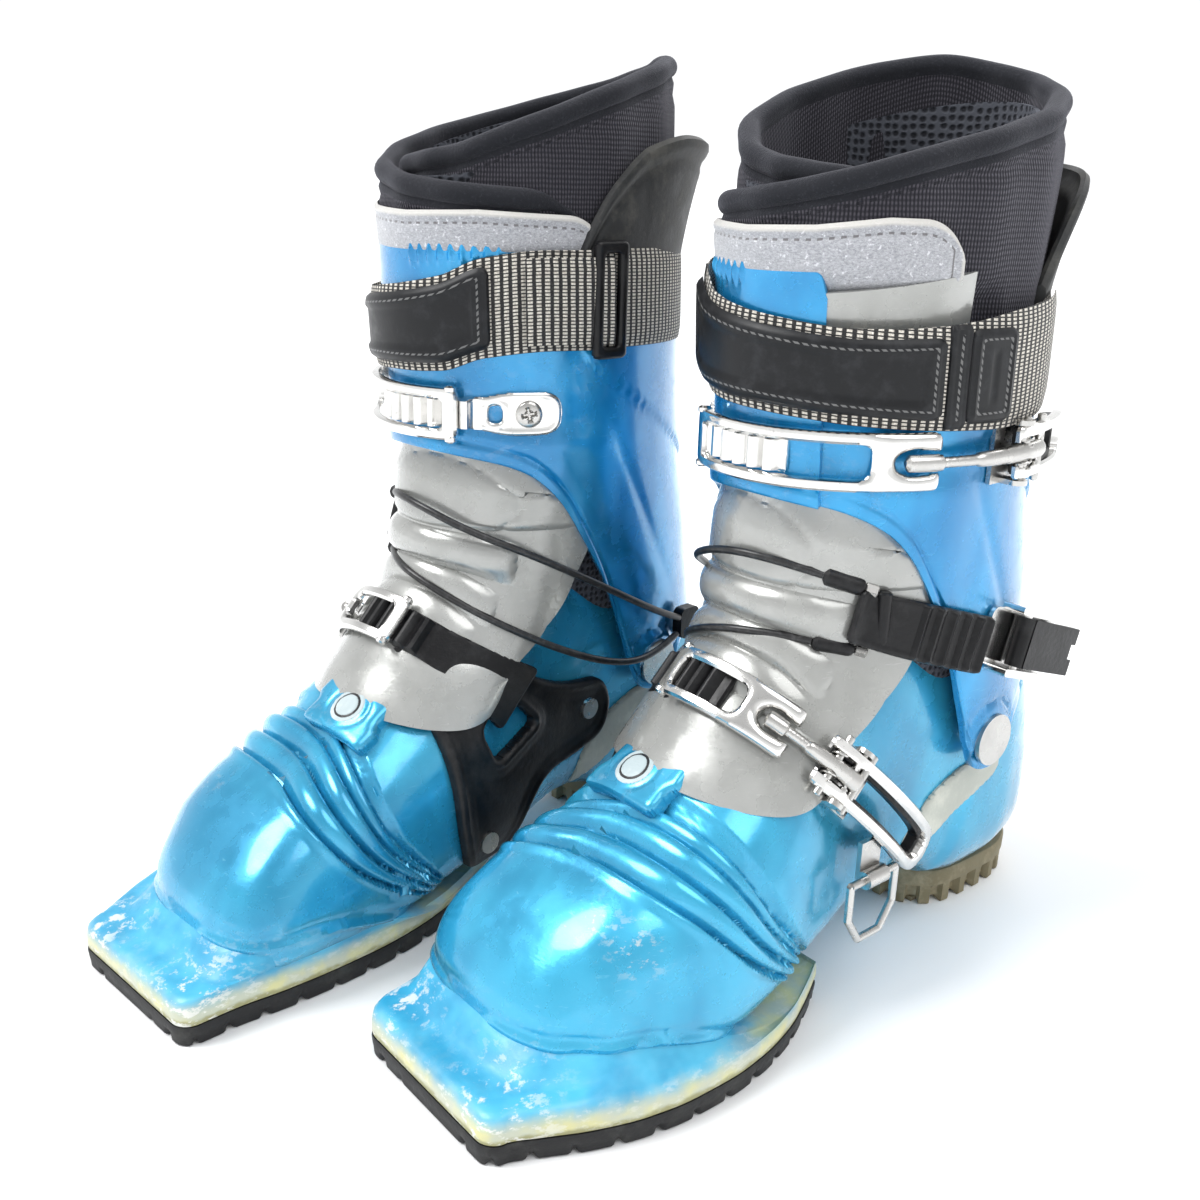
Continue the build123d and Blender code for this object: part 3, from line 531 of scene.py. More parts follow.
# middle and half-width of each fold in degrees about the ball of the foot, and its height
PLEATS = ((42.5, 3.1, 6.6), (48.8, 3.0, 6.4), (54.0, 2.1, 4.2), (57.6, 1.2, 1.8))


def foot_section(y, turn):
    """Points of the foot's outer form: `turn` is 0 at the outer side, 90 at the top, -90 below."""
    half, top, low, mid, square, middle = follow(FOOT, y)
    c, s = np.cos(turn), np.sin(turn)
    up = s >= 0
    waist = ease((y + 75) / 40) * ease((70 - y) / 30)
    x = middle + half * power(c, np.where(up, square, 0.62 + 0.5 * waist))
    z = np.where(up, mid + (top - mid) * s, mid + (mid - low) * power(s, 0.5 + 0.35 * waist))
    flare = 1 + 0.055 * ease((z - 66) / 36) * ease((y - 2) / 30) * ease((150 - y) / 25)
    return x * flare, z


def bead_height(y):
    """Height of the bead round the toe box's base, which runs down to the sole behind."""
    return 28.5 - 14.5 * ease((y + 108) / 66)


def foot_shell():
    runs = (np.linspace(0, 1, 14) ** 1.6 * 14 - 134, np.arange(-118, -112, 1.5), np.arange(-112, -10, 0.66),
            np.arange(-10, 140, 2.8), 151.6 - np.linspace(1, 0, 12) ** 1.5 * 11.6)
    ys = np.unique(np.concatenate(runs))
    y, turn = np.meshgrid(ys, np.radians(np.linspace(-90, 270, 241)[:-1]), indexing="ij")
    x, z = foot_section(y, turn)
    # bellows: the angle and reach about the ball of the foot
    ahead = BALL[0] - y - 0.27 * (np.sqrt(x**2 + 100) - x)
    above = z - BALL[1]
    reach = np.hypot(ahead, above)
    angle = np.degrees(np.arctan2(above, ahead)) + 5.0 * bump(reach, 48, 30)
    deep = ease((reach - 14) / 14) * (z > 13) * (0.75 + 0.25 * ease((reach - 30) / 30))
    shift = np.zeros_like(y)
    shift -= 4.9 * ease((angle - 38.3) / 1.2) * ease((60 - angle) / 2.5) * deep
    for at, width, height in PLEATS:
        u = np.clip(np.abs(angle - at) / width, 0, 1)
        shift += height * np.sqrt(1 - u**2.2) * deep
    shift += 1.3 * bump(angle, 37.5, 0.9) * deep
    # bead around the base of the toe box, with a groove above it
    bead = bead_height(y)
    shift += 1.1 * bump(z, bead, 1.5) * ease((-40 - y) / 14) - 0.7 * bump(z, bead + 3.6,
        1.6) * ease((-40 - y) / 14)
    # soft crease along the lower side and a heel counter that stands proud
    shift += 1.1 * bump(z, 40 + 0.28 * (y + 20), 7) * ease((y + 30) / 30) * ease((62 - y) / 20)
    counter = ease((y - 62 - 0.32 * (z - 17)) / 3.5) * ease((z - 14) / 4) * ease((100 + 0.3 * (y - 110) - z) / 3)
    shift += 1.7 * counter
    # shallow panel on the outer and inner side of the toe box
    shift -= 0.9 * bump(y, -96, 15) * bump(z, 44, 9) * ease((np.abs(x) - 26) / 8)
    ahead = 0.35 * shift * ease((-118 - y) / 14)
    points = np.stack([x + shift * np.cos(turn), y - ahead, z + shift * np.sin(turn)], -1)
    points[0] = points[0].mean(0)
    points[-1] = points[-1].mean(0)
    verts, faces = lattice(points, close_v=True)
    # the leg's opening, cut along whole faces
    cx, cy, cz = verts[np.array(faces)].mean(1).T
    open_top = (cy > 2) & (np.abs(cx) < 34) & (cz > 96)
    open_top |= (cz > 122 + 0.5 * np.clip(cy, 0, 45)) & (cy > -8)
    faces = [f for f, gone in zip(faces, open_top) if not gone]
    mesh = finished(verts, faces, thick=-SHELL_WALL)
    x, y, z = vertices(mesh).T
    bead_line = bump(z, 24, 10) * ease((-90 - y) / 30)
    decal = bump(y, -98, 7) * bump(z, 58, 7) * (x > 15)
    mark(mesh, "worn", np.clip(0.22 * bead_line + decal, 0, 1))
    return mesh


piece(
    "foot_shell", foot_shell(), SHELL, "toe",
    replaces=("toe_shell", "lower_shell", "bellows"), turn=BELLOWS,
)


# -------------------------------------------------------- welt and soles
# y and half-width of the toe half in plan: its outer side, then its inner side
SOLE_OUTER_PLAN = (
    (-155, 36.5), (-148, 38.5), (-138, 43.5), (-123, 51.0), (-105, 57.2), (-88, 60), (-70, 60.6), (-54,
        59), (-36, 54.5),
    (-18, 46.5), (-6, 40),
)
SOLE_PLAN = (
    (-155, 36.5), (-150, 37.2), (-135, 38.4), (-114, 42), (-90, 44.3), (-74, 44.8), (-58, 43.8), (-42, 41),
    (-28, 36.8), (-16, 32.2), (-6, 28),
)
DUCK_Y = -155.0
DUCK_CORNER = 7.0
PIN_HOLES = ((0, -143), (-14, -132.5), (14, -132.5))
PIN_RADIUS = 2.7
HEEL_LUGS = 22


def toe_outline(count, rear):
    """Plan outline of the toe half, from the inner rear corner round the front, with its outward normals."""
    def half_line(plan):
        ys = np.linspace(rear, DUCK_Y + DUCK_CORNER, 220)
        half = follow(plan, ys)
        arc = np.radians(np.linspace(0, 90, 16))[1:]
        inset = half[-1] - DUCK_CORNER
        front = np.linspace(inset, 0, 30)[1:]
        xs = np.r_[half, inset + DUCK_CORNER * np.cos(arc), front]
        return np.column_stack([xs, np.r_[ys, DUCK_Y + DUCK_CORNER * (1 - np.sin(arc)),
            np.full_like(front, DUCK_Y)]])

    line = np.vstack([half_line(SOLE_OUTER_PLAN), half_line(SOLE_PLAN)[::-1][1:] * (-1, 1)])
    at = np.linspace(0, arc_length(line)[-1], count)
    line = along(line, at)
    tangent = unit(np.gradient(line, axis=0))
    return line, np.column_stack([-tangent[:, 1], tangent[:, 0]]), at


def dome_line(count):
    """The toe box's base line in plan, sampled as toe_outline samples the sole."""
    ys = np.concatenate([np.linspace(-6.5, -120, 120), -134.5 + 14.5 * np.linspace(1, 0, 60)[1:] ** 2])
    half, middle = (follow(FOOT, ys)[k] for k in (0, 5))
    fade = ease((ys + 62) / 24)
    outer = middle + half - 0.8
    inner = half - middle - 0.8
    outer = outer + (np.minimum(outer, follow(SOLE_OUTER_PLAN, ys) - 1) - outer) * fade
    inner = inner + (np.minimum(inner, follow(SOLE_PLAN, ys) + 2) - inner) * fade
    line = np.vstack([np.column_stack([outer, ys]), np.column_stack([-inner, ys])[::-1][1:]])
    return along(line, np.linspace(0, arc_length(line)[-1], count))


def plan_loops(outline, normal, levels, cut=0.0, depth=0.0, rise=0.0):
    """Loops round a plan outline at levels of (outward offset, height, share of the lug cuts)."""
    loops = []
    for off, z, share in levels:
        move = np.broadcast_to(off - depth * share * cut, len(outline))[:, None]
        height = np.broadcast_to(z + rise * share * cut * (z < 1), len(outline))
        loops.append(np.column_stack([outline + normal * move, height]))
    return loops


def welt():
    """The flange between sole and toe box: flat duckbill in front, steep at the sides."""
    outline, normal, _ = toe_outline(count=400, rear=-6.5)
    inner = dome_line(400)
    ahead = ease((-116 - outline[:, 1]) / 20)[:, None]
    side = ((-3.0, 8.2, 0), (-0.6, 8.2, 0), (0.1, 8.7, 0), (0.4, 10.0, 0), (0.4, 13.5, 0), (0.1, 15.2, 0))
    loops = plan_loops(outline, normal, side)
    for t in (0.02, 0.06, 0.12, 0.2, 0.3, 0.42, 0.55, 0.68, 0.8, 0.9, 1.0, 1.12):
        flat = 16.4 + 2.6 * min(t / 0.14, 1) ** 0.6 + 0.8 * t + 9.0 * float(ease((t - 0.5) / 0.6))
        steep = 16.0 + (bead_height(inner[:, 1:]) - 16.0) * min(t, 1.0) ** 0.85
        z = flat * ahead + steep * (1 - ahead)
        loops.append(np.column_stack([outline * (1 - t) + inner * t, z[:, 0]]))
    mesh = finished(*lattice(np.stack(loops), close_v=True, cap=True))
    x, y, z = vertices(mesh).T
    edge = ease((18.9 - z) / 2.5)
    corners = bump(np.hypot(np.abs(x) - 31, y + 148), 0, 17)
    mark(mesh, "worn", np.clip(0.3 * edge + 0.85 * corners, 0, 1))
    return mesh


def welt_material():
    """Shell plastic that turns cream and yellow by the rubber, with chalky scuffs."""
    g = new_shader("welt", roughness=0.45, coat_weight=0.25, coat_roughness=0.2)
    grain = g.place()
    z = g.split(grain)["Z"]
    ragged = g.times(g.minus(g.cloud(grain, 130.0, 4.0), 0.5), 0.004)
    level = g.plus(z, ragged)
    blue = g.mix(g.span(g.cloud(grain, 40.0), 0.35, 0.65), (0.02, 0.29, 0.50), (0.07, 0.44, 0.66))
    cream = g.mix(g.span(g.cloud(grain, 75.0, 4.0), 0.4, 0.65), (0.50, 0.53, 0.42), (0.62, 0.6, 0.3))
    colour = g.mix(g.span(level, 0.0095, 0.0115), (0.3, 0.29, 0.13), cream)
    colour = g.mix(g.span(level, 0.0125, 0.0195), colour, blue)
    worn = g.field("worn")
    patchy = g.cloud(g.stretch(grain, (170.0, 130.0, 300.0)), 1.0, 8.0, 0.72)
    hit = g.times(g.span(patchy, 0.52, 0.6), worn)
    colour = g.mix(hit, colour, (0.72, 0.73, 0.68))
    rough = g.span(patchy, 0.35, 0.65, 0.32, 0.7)
    normal = g.bump(patchy, 0.35, 0.0005)
    g.feed(base_color=colour, roughness=rough, normal=normal)
    return g.owner


piece("toe_welt", welt(), welt_material(), "toe")


def toe_sole():
    """Black rubber sole: lugs around its edge, a tread of bars below, three pin holes."""
    outline, normal, at = toe_outline(count=420, rear=-7.2)
    cut = 0.5 + 0.5 * np.sign(np.sin(2 * math.pi * at / 13.5 + 1.3 * np.sin(at / 31)) - 0.86)
    cut = np.convolve(np.pad(cut, 1, mode="edge"), (0.2, 0.6, 0.2), "valid")
    cut *= ease((np.abs(outline[:, 0]) - 12) / 6)
    levels = (
        (-9, 0.9, 0), (-5, 0.4, 1), (-0.8, 0.0, 1), (-0.1, 0.7, 1), (0, 2.2, 1), (0.1, 3.4, 1), (0.3, 4.4, 0),
        (0.6, 7.2, 0), (0.4, 8.3, 0), (-4, 8.35, 0),
    )
    loops = plan_loops(outline, normal, levels, cut, depth=1.2, rise=1.6)
    bars = []
    for y in np.arange(-116, -16, 9.5):
        half = float(follow(SOLE_PLAN, y)) - 8
        bars.append(block((-half, y, 0.05), (-3.5, y + 5.5, 2.2), slant=-2.5))
        bars.append(block((3.5, y, 0.05), (half, y + 5.5, 2.2), slant=2.5))
    holes = [post(*centre, PIN_RADIUS, -1, 8) for centre in PIN_HOLES]
    return finished(*join(lattice(np.stack(loops), close_v=True, cap=True), *bars), cutter=join(*holes))


def post(x, y, radius, low, high, sides=28):
    """A round post between two heights."""
    turn = np.radians(np.arange(sides) * 360 / sides)
    rings = [[(x + radius * math.cos(t), y + radius * math.sin(t), z) for t in turn] for z in (low, high)]
    return lattice(np.array(rings), close_v=True, cap=True)


def block(low, high, slant=0.0, taper=0.7):
    """A bar with sloping sides; `slant` leans it in plan."""
    (x0, y0, z0), (x1, y1, z1) = low, high
    xa, xb, ya, yb = x0 + taper, x1 - taper, y0 + taper, y1 - taper
    a = [(xa, ya + slant, z0), (xb, ya, z0), (xb, yb, z0), (xa, yb + slant, z0)]
    b = [(x0, y0 + slant, z1), (x1, y0, z1), (x1, y1, z1), (x0, y1 + slant, z1)]
    faces = [(3, 2, 1, 0), (4, 5, 6, 7), (0, 1, 5, 4), (1, 2, 6, 5), (2, 3, 7, 6), (3, 0, 4, 7)]
    return np.array(a + b, float), faces


def heel_outline(count=260):
    """Closed plan outline of the heel block from its front middle, with its outward normals."""
    turn = np.radians(np.linspace(0, 360, 721)[:-1])
    x = 31 * power(np.sin(turn), 0.55)
    y = 111 - 40 * power(np.cos(turn), 0.62)
    x = np.where(y < 84, x * (1 - 0.1 * (84 - y) / 12), x)
    x = np.where(y > 118, x * (1 - 0.28 * ((y - 118) / 33) ** 2), x)
    line = np.column_stack([x, y])
    loop = np.vstack([line, line[:1]])
    share = np.linspace(0, 1, count + 1)[:-1]
    line = along(loop, share * arc_length(loop)[-1])
    tangent = unit(np.roll(line, -1, 0) - np.roll(line, 1, 0))
    normal = np.column_stack([tangent[:, 1], -tangent[:, 0]])
    outward = np.sign(normal[count // 4] @ (line[count // 4] - line.mean(0)))
    return line, normal * outward, share


def heel_sole():
    """Tan heel block: square lugs around its side, bars below."""
    outline, normal, share = heel_outline()
    cut = 0.5 + 0.5 * np.clip(4 * np.sin(2 * math.pi * HEEL_LUGS * share), -1, 1)
    levels = (
        (-9, 1.2, 0), (-4, 0.6, 1), (-0.8, 0, 1), (0, 0.8, 1), (0, 6.2, 1), (0.1, 8.0, 1), (0.2, 9.4, 0),
        (0.5, 10.4, 0), (0.6, 15.6, 0), (0.0, 16.7, 0), (-1.5, 17.1, 0), (-8, 17.1, 0),
    )
    loops = plan_loops(outline, normal, levels, cut, depth=2.6, rise=2.4)
    bars = [block((-22 + 0.09 * k, 78 + 11 * k, 0.1), (22 - 0.09 * k, 84 + 11 * k, 2.6)) for k in range(6)]
    return finished(*join(lattice(np.stack(loops), close_v=True, cap=True), *bars))


piece("toe_tread", toe_sole(), SOLE_BLACK, "toe", replaces=("toe_sole",))
piece("heel_tread", heel_sole(), HEEL_TAN, "foot", replaces=("heel_sole",))


# ------------------------------------------------------------------- tongue
# centre line in the side view: y, z, sideways reach in degrees, half-width and depth of the section
TONGUE_PATH = (
    (-8, -56.5, 91.5, 62, 46, 40),
    (0, -51, 97.5, 66, 46.5, 43),
    (10, -44.5, 105, 67, 47, 47),
    (20, -38.5, 112.8, 66, 47, 51),
    (30, -32.0, 120.6, 64, 47, 54),
    (40, -25.2, 128, 64, 47, 56),
    (50, -19.2, 136, 68, 46.5, 57),
    (60, -15.6, 145.6, 75, 46, 58),
    (70, -14.6, 155.6, 81, 45.5, 59),
    (80, -14.3, 165.6, 83, 45.5, 60),
    (92, -13.4, 177.6, 84, 45.4, 60.5),
    (106, -9.8, 191.5, 84, 43.6, 59),
    (122, -9.0, 207.5, 80, 43.2, 60),
    (142, -12.2, 227.5, 78, 44.5, 60.5),
    (172, -17.8, 260.5, 78, 48.0, 63.5),
)


def tongue():
    """The grey flex tongue: a curved plate that follows the leg and reaches under the cuff."""
    s = np.unique(np.concatenate([np.arange(0, 34, 0.8), np.arange(34, 84, 0.5), np.arange(84, 172, 1.6),
        [172.0]]))
    t = np.linspace(-1, 1, 101)
    rows, across = np.meshgrid(s, t, indexing="ij")
    round_in = -8 + 24 * (1 - np.sqrt(np.clip(1 - np.abs(across) ** 2.3 * 0.985, 0, 1)))
    down = round_in + (rows / 172) * (172 - round_in)
    y, z, reach, half, depth = follow(TONGUE_PATH, down)
    ahead, behind = (np.array(follow(TONGUE_PATH, down + d)[:2]) for d in (0.5, -0.5))
    ty, tz = (ahead - behind) / (np.hypot(*(ahead - behind)) + 1e-9)
    beta = np.radians(reach) * across
    # loaf ridges over the ankle, with rounded ends
    lift = np.zeros_like(down)
    for centre, width, height, end, drop in ((66.5, 6.2, 4.2, 48, 3), (54, 4.8, 3.0, 44, 5),
        (41, 7.0, 1.8, 40, 6)):
        sweep = np.degrees(beta) / end
        u = np.clip(np.abs(down + drop * sweep**2 - centre) / width, 0, 1)
        lift += height * (1 - u**2.6) * np.sqrt(np.clip(1 - sweep**4, 0, 1))
    fade = np.sqrt(np.clip(1 - (across / 0.97) ** 8, 0, 1))
    # lower lobes, the raised rim of the upper plate and the round imprint on it
    lift += 1.4 * (1 - np.clip(np.abs(down - 12) / 20, 0, 1) ** 4) * np.sqrt(np.clip(1 - np.abs(across) ** 6,
        0, 1))
    lift += 1.4 * ease((down - 75.5) / 2.2) * fade
    disc = np.hypot(down - 86, across * 36 + 4)
    lift -= 0.7 * bump(disc, 17, 0.9) * (down > 74) * (across < 0.5)
    x = (half + lift) * np.sin(beta)
    back = depth - (depth + lift) * np.cos(beta)
    points = np.stack([x, y + back * tz, z - back * ty], -1)
    mesh = finished(*lattice(points), thick=-2.6)
    mark(mesh, "worn", 0.12 * bump(vertices(mesh)[:, 2], 104, 10))
    return mesh


piece("tongue_plate", tongue(), TONGUE, "foot", replaces=("tongue",),
    turn=("shaft", (0, -20, 122), (0, -14, 182)))


# --------------------------------------------------------- wrapped sheets
# height, centre, half-width, half-length of the leg's level ovals
LEG = (
    (76, 76, 50.0, 61.0),
    (100, 71.5, 51.0, 62.2),
    (125, 66, 51.2, 63.4),
    (158, 57.6, 51.2, 67.8),
    (200, 49.6, 51.2, 67.6),
    (266, 45.2, 52.0, 67.2),
    (300, 44.4, 52.0, 67.0),
    (345, 43.7, 51.6, 66.3),
)


def off_leg(angle, z, off):
    """A point off the leg's oval at this height: 0 degrees is the outer side, -90 the front."""
    centre, half, length = follow(LEG, z)
    a = np.radians(angle)
    return np.stack([(half + off) * np.cos(a), centre + (length + off) * np.sin(a), z + 0 * a], -1)


CUFF_WALL = 3.3
CUFF_EDGE = (  # y and height of the lower edge
    (-19, 193), (-12, 191), (0, 187.5), (8, 183.5), (20, 172), (31, 154), (42, 134), (50, 115), (56, 98), (61,
        86), (66, 79.5),
    (76, 77.5), (86, 79.5), (91, 86), (97, 93.5), (106, 96.5), (120, 97), (140, 97),
)
CUFF_TOP_EDGE = (  # angle and height of the rim
    (-430, 244), (-410, 246), (-360, 247), (-320, 248), (-292, 252), (-285, 262), (-255, 262), (-248,
        252), (-215, 250), (-195, 256),
    (-175, 262), (-130, 270), (-95, 269.5), (-70, 269.3), (-64, 267), (-61, 259),
)


def cuff():
    """The blue shaft: one lapped sheet from its inner end round the back to its outer end in front."""
    angles = np.unique(np.concatenate([np.arange(-430, -61, 1.15), np.arange(-120, -61, 0.55), [-61.0]]))
    t = np.linspace(0, 1, 74)
    angle, up = np.meshgrid(angles, t, indexing="ij")
    top = follow(CUFF_TOP_EDGE, angle)
    low = follow(CUFF_EDGE, 60 + 66 * np.sin(np.radians(angle)))
    for _ in range(2):
        low = follow(CUFF_EDGE, off_leg(angle, low, 0)[..., 1])
    tooth = ((angle + 128) / 4.6) % 1.0
    top = top - 1.5 * bump(tooth, 0.5, 0.27) * ease((angle + 134) / 3) * ease((-96 - angle) / 3)
    z = low + (top - low) * up
    off = -4.2 * ease((-398 - angle) / 22)
    # lap line where the panel steps, teeth below the rim, pads round the pivots
    y = off_leg(angle, z, 0)[..., 1]
    step = 1.3 * ease((z - (232 - 0.62 * (y - 18))) / 1.2)
    off += step * ease((-160 - angle) / 6) * ease((angle + 250) / 12)
    off += step * ease((-300 - angle) / 12) * ease((angle + 372) / 6)
    ribs = bump(tooth, 0.0, 0.22) + bump(tooth, 1.0, 0.22)
    ribs = ribs * ease((angle + 134) / 3) * ease((-92 - angle) / 3)
    off += 1.7 * bump(top - z, 3.6, 3.0) * ribs
    disc = np.hypot(y - 75, z - 90)
    off += 0.9 * ease((14.5 - disc) / 1.5) - 0.8 * bump(disc, 16.2, 1.2)
    # groove along the lower edge, room for the tongue in front, a slanting crease
    off -= 0.9 * bump(z, follow(CUFF_EDGE, y) + 5.5, 1.3) * ease((angle + 420) / 20)
    off += 2.3 * ease((50 - y) / 22) * ease((206 - z) / 14)
    off -= 0.7 * bump((z - 168) * 0.55 + y - 60, 0, 3.2) * bump(z, 165, 34)
    outer = off_leg(angle, z, off)
    rim = []
    for inward, rise in ((0.25, 0.55), (1.0, 1.0), (CUFF_WALL - 1.0, 1.0), (CUFF_WALL - 0.25, 0.55)):
        rim.append(off_leg(angle[:, -1], z[:, -1] + rise, off[:, -1] - inward))
    inner_up = np.linspace(1, 0, 16)
    inner_z = z[:, :1] + (z[:, -1:] - z[:, :1]) * inner_up
    inner_off = np.stack([np.interp(inner_up, t, off[i]) for i in range(len(angles))])
    inner_off = np.minimum(inner_off, off.min(1, keepdims=True) + 0.6) - CUFF_WALL
    inner = off_leg(np.repeat(angles[:, None], 16, 1), inner_z, inner_off)
    foot = [off_leg(angle[:, 0], z[:, 0] - 0.5, off[:, 0] - inward) for inward in (CUFF_WALL - 0.3, 0.3)]
    points = np.concatenate([outer, np.stack(rim, 1), inner, np.stack(foot, 1)], 1)
    mesh = finished(*lattice(points, close_v=True, cap=True))
    x, y, z = vertices(mesh).T
    mark(mesh, "worn", 0.2 * bump(z, 200, 30) * (y < 10))
    return mesh


piece("cuff_sheet", cuff(), CUFF, "shaft", replaces=("cuff",))


# --------------------------------------------------------------------- liner
RIM_RADIUS = 4.1
FELT_LOW = 236.0
IN_THE_LINING = 0.03  # a rim distance past every seam
LINER_TOP = (  # angle and height of the rim
    (-178, 250), (-172, 262), (-166, 276), (-158, 285), (-148, 289.5), (-125, 291), (-90, 294), (-60,
        299), (-32, 306.5), (0, 315),
    (22, 321), (42, 327), (68, 333.5), (92, 338.5), (118, 342), (142, 339), (180, 328.5), (215, 315.5), (250,
        305), (285, 301.5), (310, 299), (325, 290),
)


def liner_wrap():
    """The liner's upper: one padded sheet that laps over itself in front, with a rolled rim."""
    angles = np.concatenate([np.arange(-178, -140, 0.9), np.arange(-140, 326, 1.7)])
    top = follow(LINER_TOP, angles)
    under = 8.2 * ease((angles - 196) / 66)
    flare = 1.6 * bump(angles, -100, 60)
    rows, rims, lays = [], [], []
    round_at = np.radians(np.linspace(-62, 210, 17))
    arc = arc_length(off_leg(angles, np.full_like(angles, 290.0), 0))
    for i, angle in enumerate(angles):
        high = top[i] - RIM_RADIUS
        z = np.linspace(205, high - 6, 30)
        soft = 0.9 * math.sin(angle * 0.09) * bump(z, 275, 22) + 0.5 * math.sin(angle * 0.23 + z[5] * 0.1)
        tucked = 4.4 * ease((268 - z) / 10) * ease((4 - angle) / 12)
        stout = 3.6 * bump(angle, 52, 66) * bump(z, 306, 44)
        belly = -2.6 + stout - tucked - under[i] + soft - 1.2 * bump(z, high - 9, 3.0)
        belly += flare[i] * ease((z - 262) / 20)
        mid = belly[-1] - RIM_RADIUS + 1.3
        zi = np.linspace(high - 6, 150, 16)
        heights = np.r_[z, high + RIM_RADIUS * np.sin(round_at), zi]
        lining = mid - RIM_RADIUS + 0.6 - 2.0 * ease((high - zi) / 60)
        line = off_leg(np.full_like(heights, angle), heights,
            np.r_[belly, mid + RIM_RADIUS * np.cos(round_at), lining])
        rows.append(line)
        rims.append(np.r_[(top[i] - z) * MM, np.zeros(len(round_at)), np.full(len(zi), IN_THE_LINING)])
        lays.append(np.column_stack([np.full(len(line), arc[i]), arc_length(line), np.zeros(len(line))]))
    mesh = finished(*lattice(np.stack(rows), close_v=True, cap=True))
    mark(mesh, "rim", np.concatenate(rims))
    mark(mesh, "lay", np.concatenate(lays) * MM)
    return mesh


piece("liner_upper", liner_wrap(), KNIT, "shaft", replaces=("liner_shaft",))

# ring number, centre y and z, lean of the ring, half-width, half-length
SOCK = (
    (0, 43.7, 309, 16, 43.5, 57), (1, 45, 280, 12, 42, 55.5), (2, 48, 240, 6, 39.5, 53.5), (3, 52, 200, 3,
        38.5, 52.5), (4, 56, 160, 3, 38, 51),
    (5, 60, 128, 4, 37.5, 50), (6, 58, 100, 20, 36.5, 50), (7, 46, 78, 38, 35.5, 47), (8, 22, 62, 58, 36,
        40), (9, -8, 50, 76, 37, 32),
    (10, -40, 42, 86, 37, 24), (11, -72, 37, 90, 34, 19), (12, -98, 34, 92, 26, 14), (13, -112, 32, 94, 12,
        7), (14, -115, 31.5, 94, 0.5, 0.4),
)


def sock():
    """The liner's lining, from the rim down into the toe."""
    turn = np.radians(np.arange(0, 360, 4.5))
    y, z, lean, half, length = (column[:, None] for column in follow(SOCK, np.arange(0, 14.01, 0.2)))
    u = length * np.sin(turn)
    lean = np.radians(lean)
    points = np.stack([half * np.cos(turn), y + u * np.cos(lean), z + u * np.sin(lean)], -1)
    mesh = finished(*lattice(points, close_v=True), thick=1.6)
    x, y, z = vertices(mesh).T
    mark(mesh, "lay", np.column_stack([np.arctan2(x, y - 45) * 45, z, 0 * z]) * MM)
    return mesh


piece("liner_lining", sock(), WAFFLE, "foot", replaces=("liner_foot",),
    turn=("shaft", (0, 60, 108), (0, 60, 168)))


def felt_patch():
    """Silver felt on the front of the liner, rounded at both rear corners."""
    angles = np.arange(-172, -16.5, 0.9)
    high = np.interp(angles, (-172, -125, -94, -66, -43, -17), (280, 282.2, 281.2, 282.2, 285, 284.5))
    ends = np.minimum(angles - angles[0], angles[-1] - angles)[:, None]
    high = high[:, None] - 15 * 1.15 * (1 - quarter(ends / 15))
    angle, up = np.meshgrid(angles, np.linspace(0, 1, 34), indexing="ij")
    z = FELT_LOW + (high - FELT_LOW) * up
    edge = np.minimum(high - z, ends * 0.95)
    off = -1.4 - 4.8 * ease((268 - z) / 9) + 1.6 * bump(angle, -100, 60) * ease((z - 262) / 20)
    off += 1.3 * np.sqrt(np.clip(edge / 2.2, 0, 1))
    off += 0.5 * bump(edge, 1.6, 1.2) - 0.5 * bump(edge, 4.4,
        0.8) + 0.25 * np.sin(angle * 0.16) * np.sin(z * 0.2)
    mesh = finished(*lattice(off_leg(angle, z, off)))
    arc = arc_length(off_leg(angles, np.full_like(angles, 270.0), 0))[:, None]
    mark(mesh, "lay", np.stack([arc + 0 * z, z, 0 * z], -1).reshape(-1, 3) * MM)
    mark(mesh, "rim", edge.ravel() * MM)
    return mesh


piece("liner_felt", felt_patch(), FELT, "shaft")


# --------------------------------------------------------------- strap
def arc_of(angles):
    """Distance round the leg at the strap's height."""
    return arc_length(off_leg(angles, np.full_like(angles, 245.0), 0))


def ribbon(angles, low, high, off, thick, rows=9):
    """A webbing band round the leg: points, faces and its lay (along, across, woven share)."""
    angle, up = np.meshgrid(angles, np.linspace(0, 1, rows), indexing="ij")
    low, high, off = low[:, None], high[:, None], off[:, None]
    across = (high - low) * up
    z = low + across
    soft = 0.45 * thick * (np.abs(2 * up - 1) ** 6)
    out = off_leg(angle, z, off + thick - soft)
    inn = off_leg(angle[:, ::-1], z[:, ::-1], off + soft * 0.8)
    verts, faces = lattice(np.concatenate([out, inn], 1), close_v=True, cap=True)
    v = np.concatenate([across, across[:, ::-1]], 1)
    lay = np.stack([np.repeat(arc_of(angles)[:, None], 2 * rows, 1), v, np.ones_like(v)], -1)
    return verts, faces, lay.reshape(-1, 3) * (MM, MM, 1)


WEB_THICK = 2.0
STRAP_EDGES = (  # angle, lower and upper edge of the strap's outer turn
    (-172, 231, 268.5), (-150, 231.5, 268.5), (-127, 229, 265.5), (-110, 223.5, 258.5), (-77, 221.5,
        253.2), (-50, 219.5, 251),
    (-28, 217.8, 251.6), (-14, 217, 253.4), (0, 216.4, 256), (38, 221, 260.5),
)


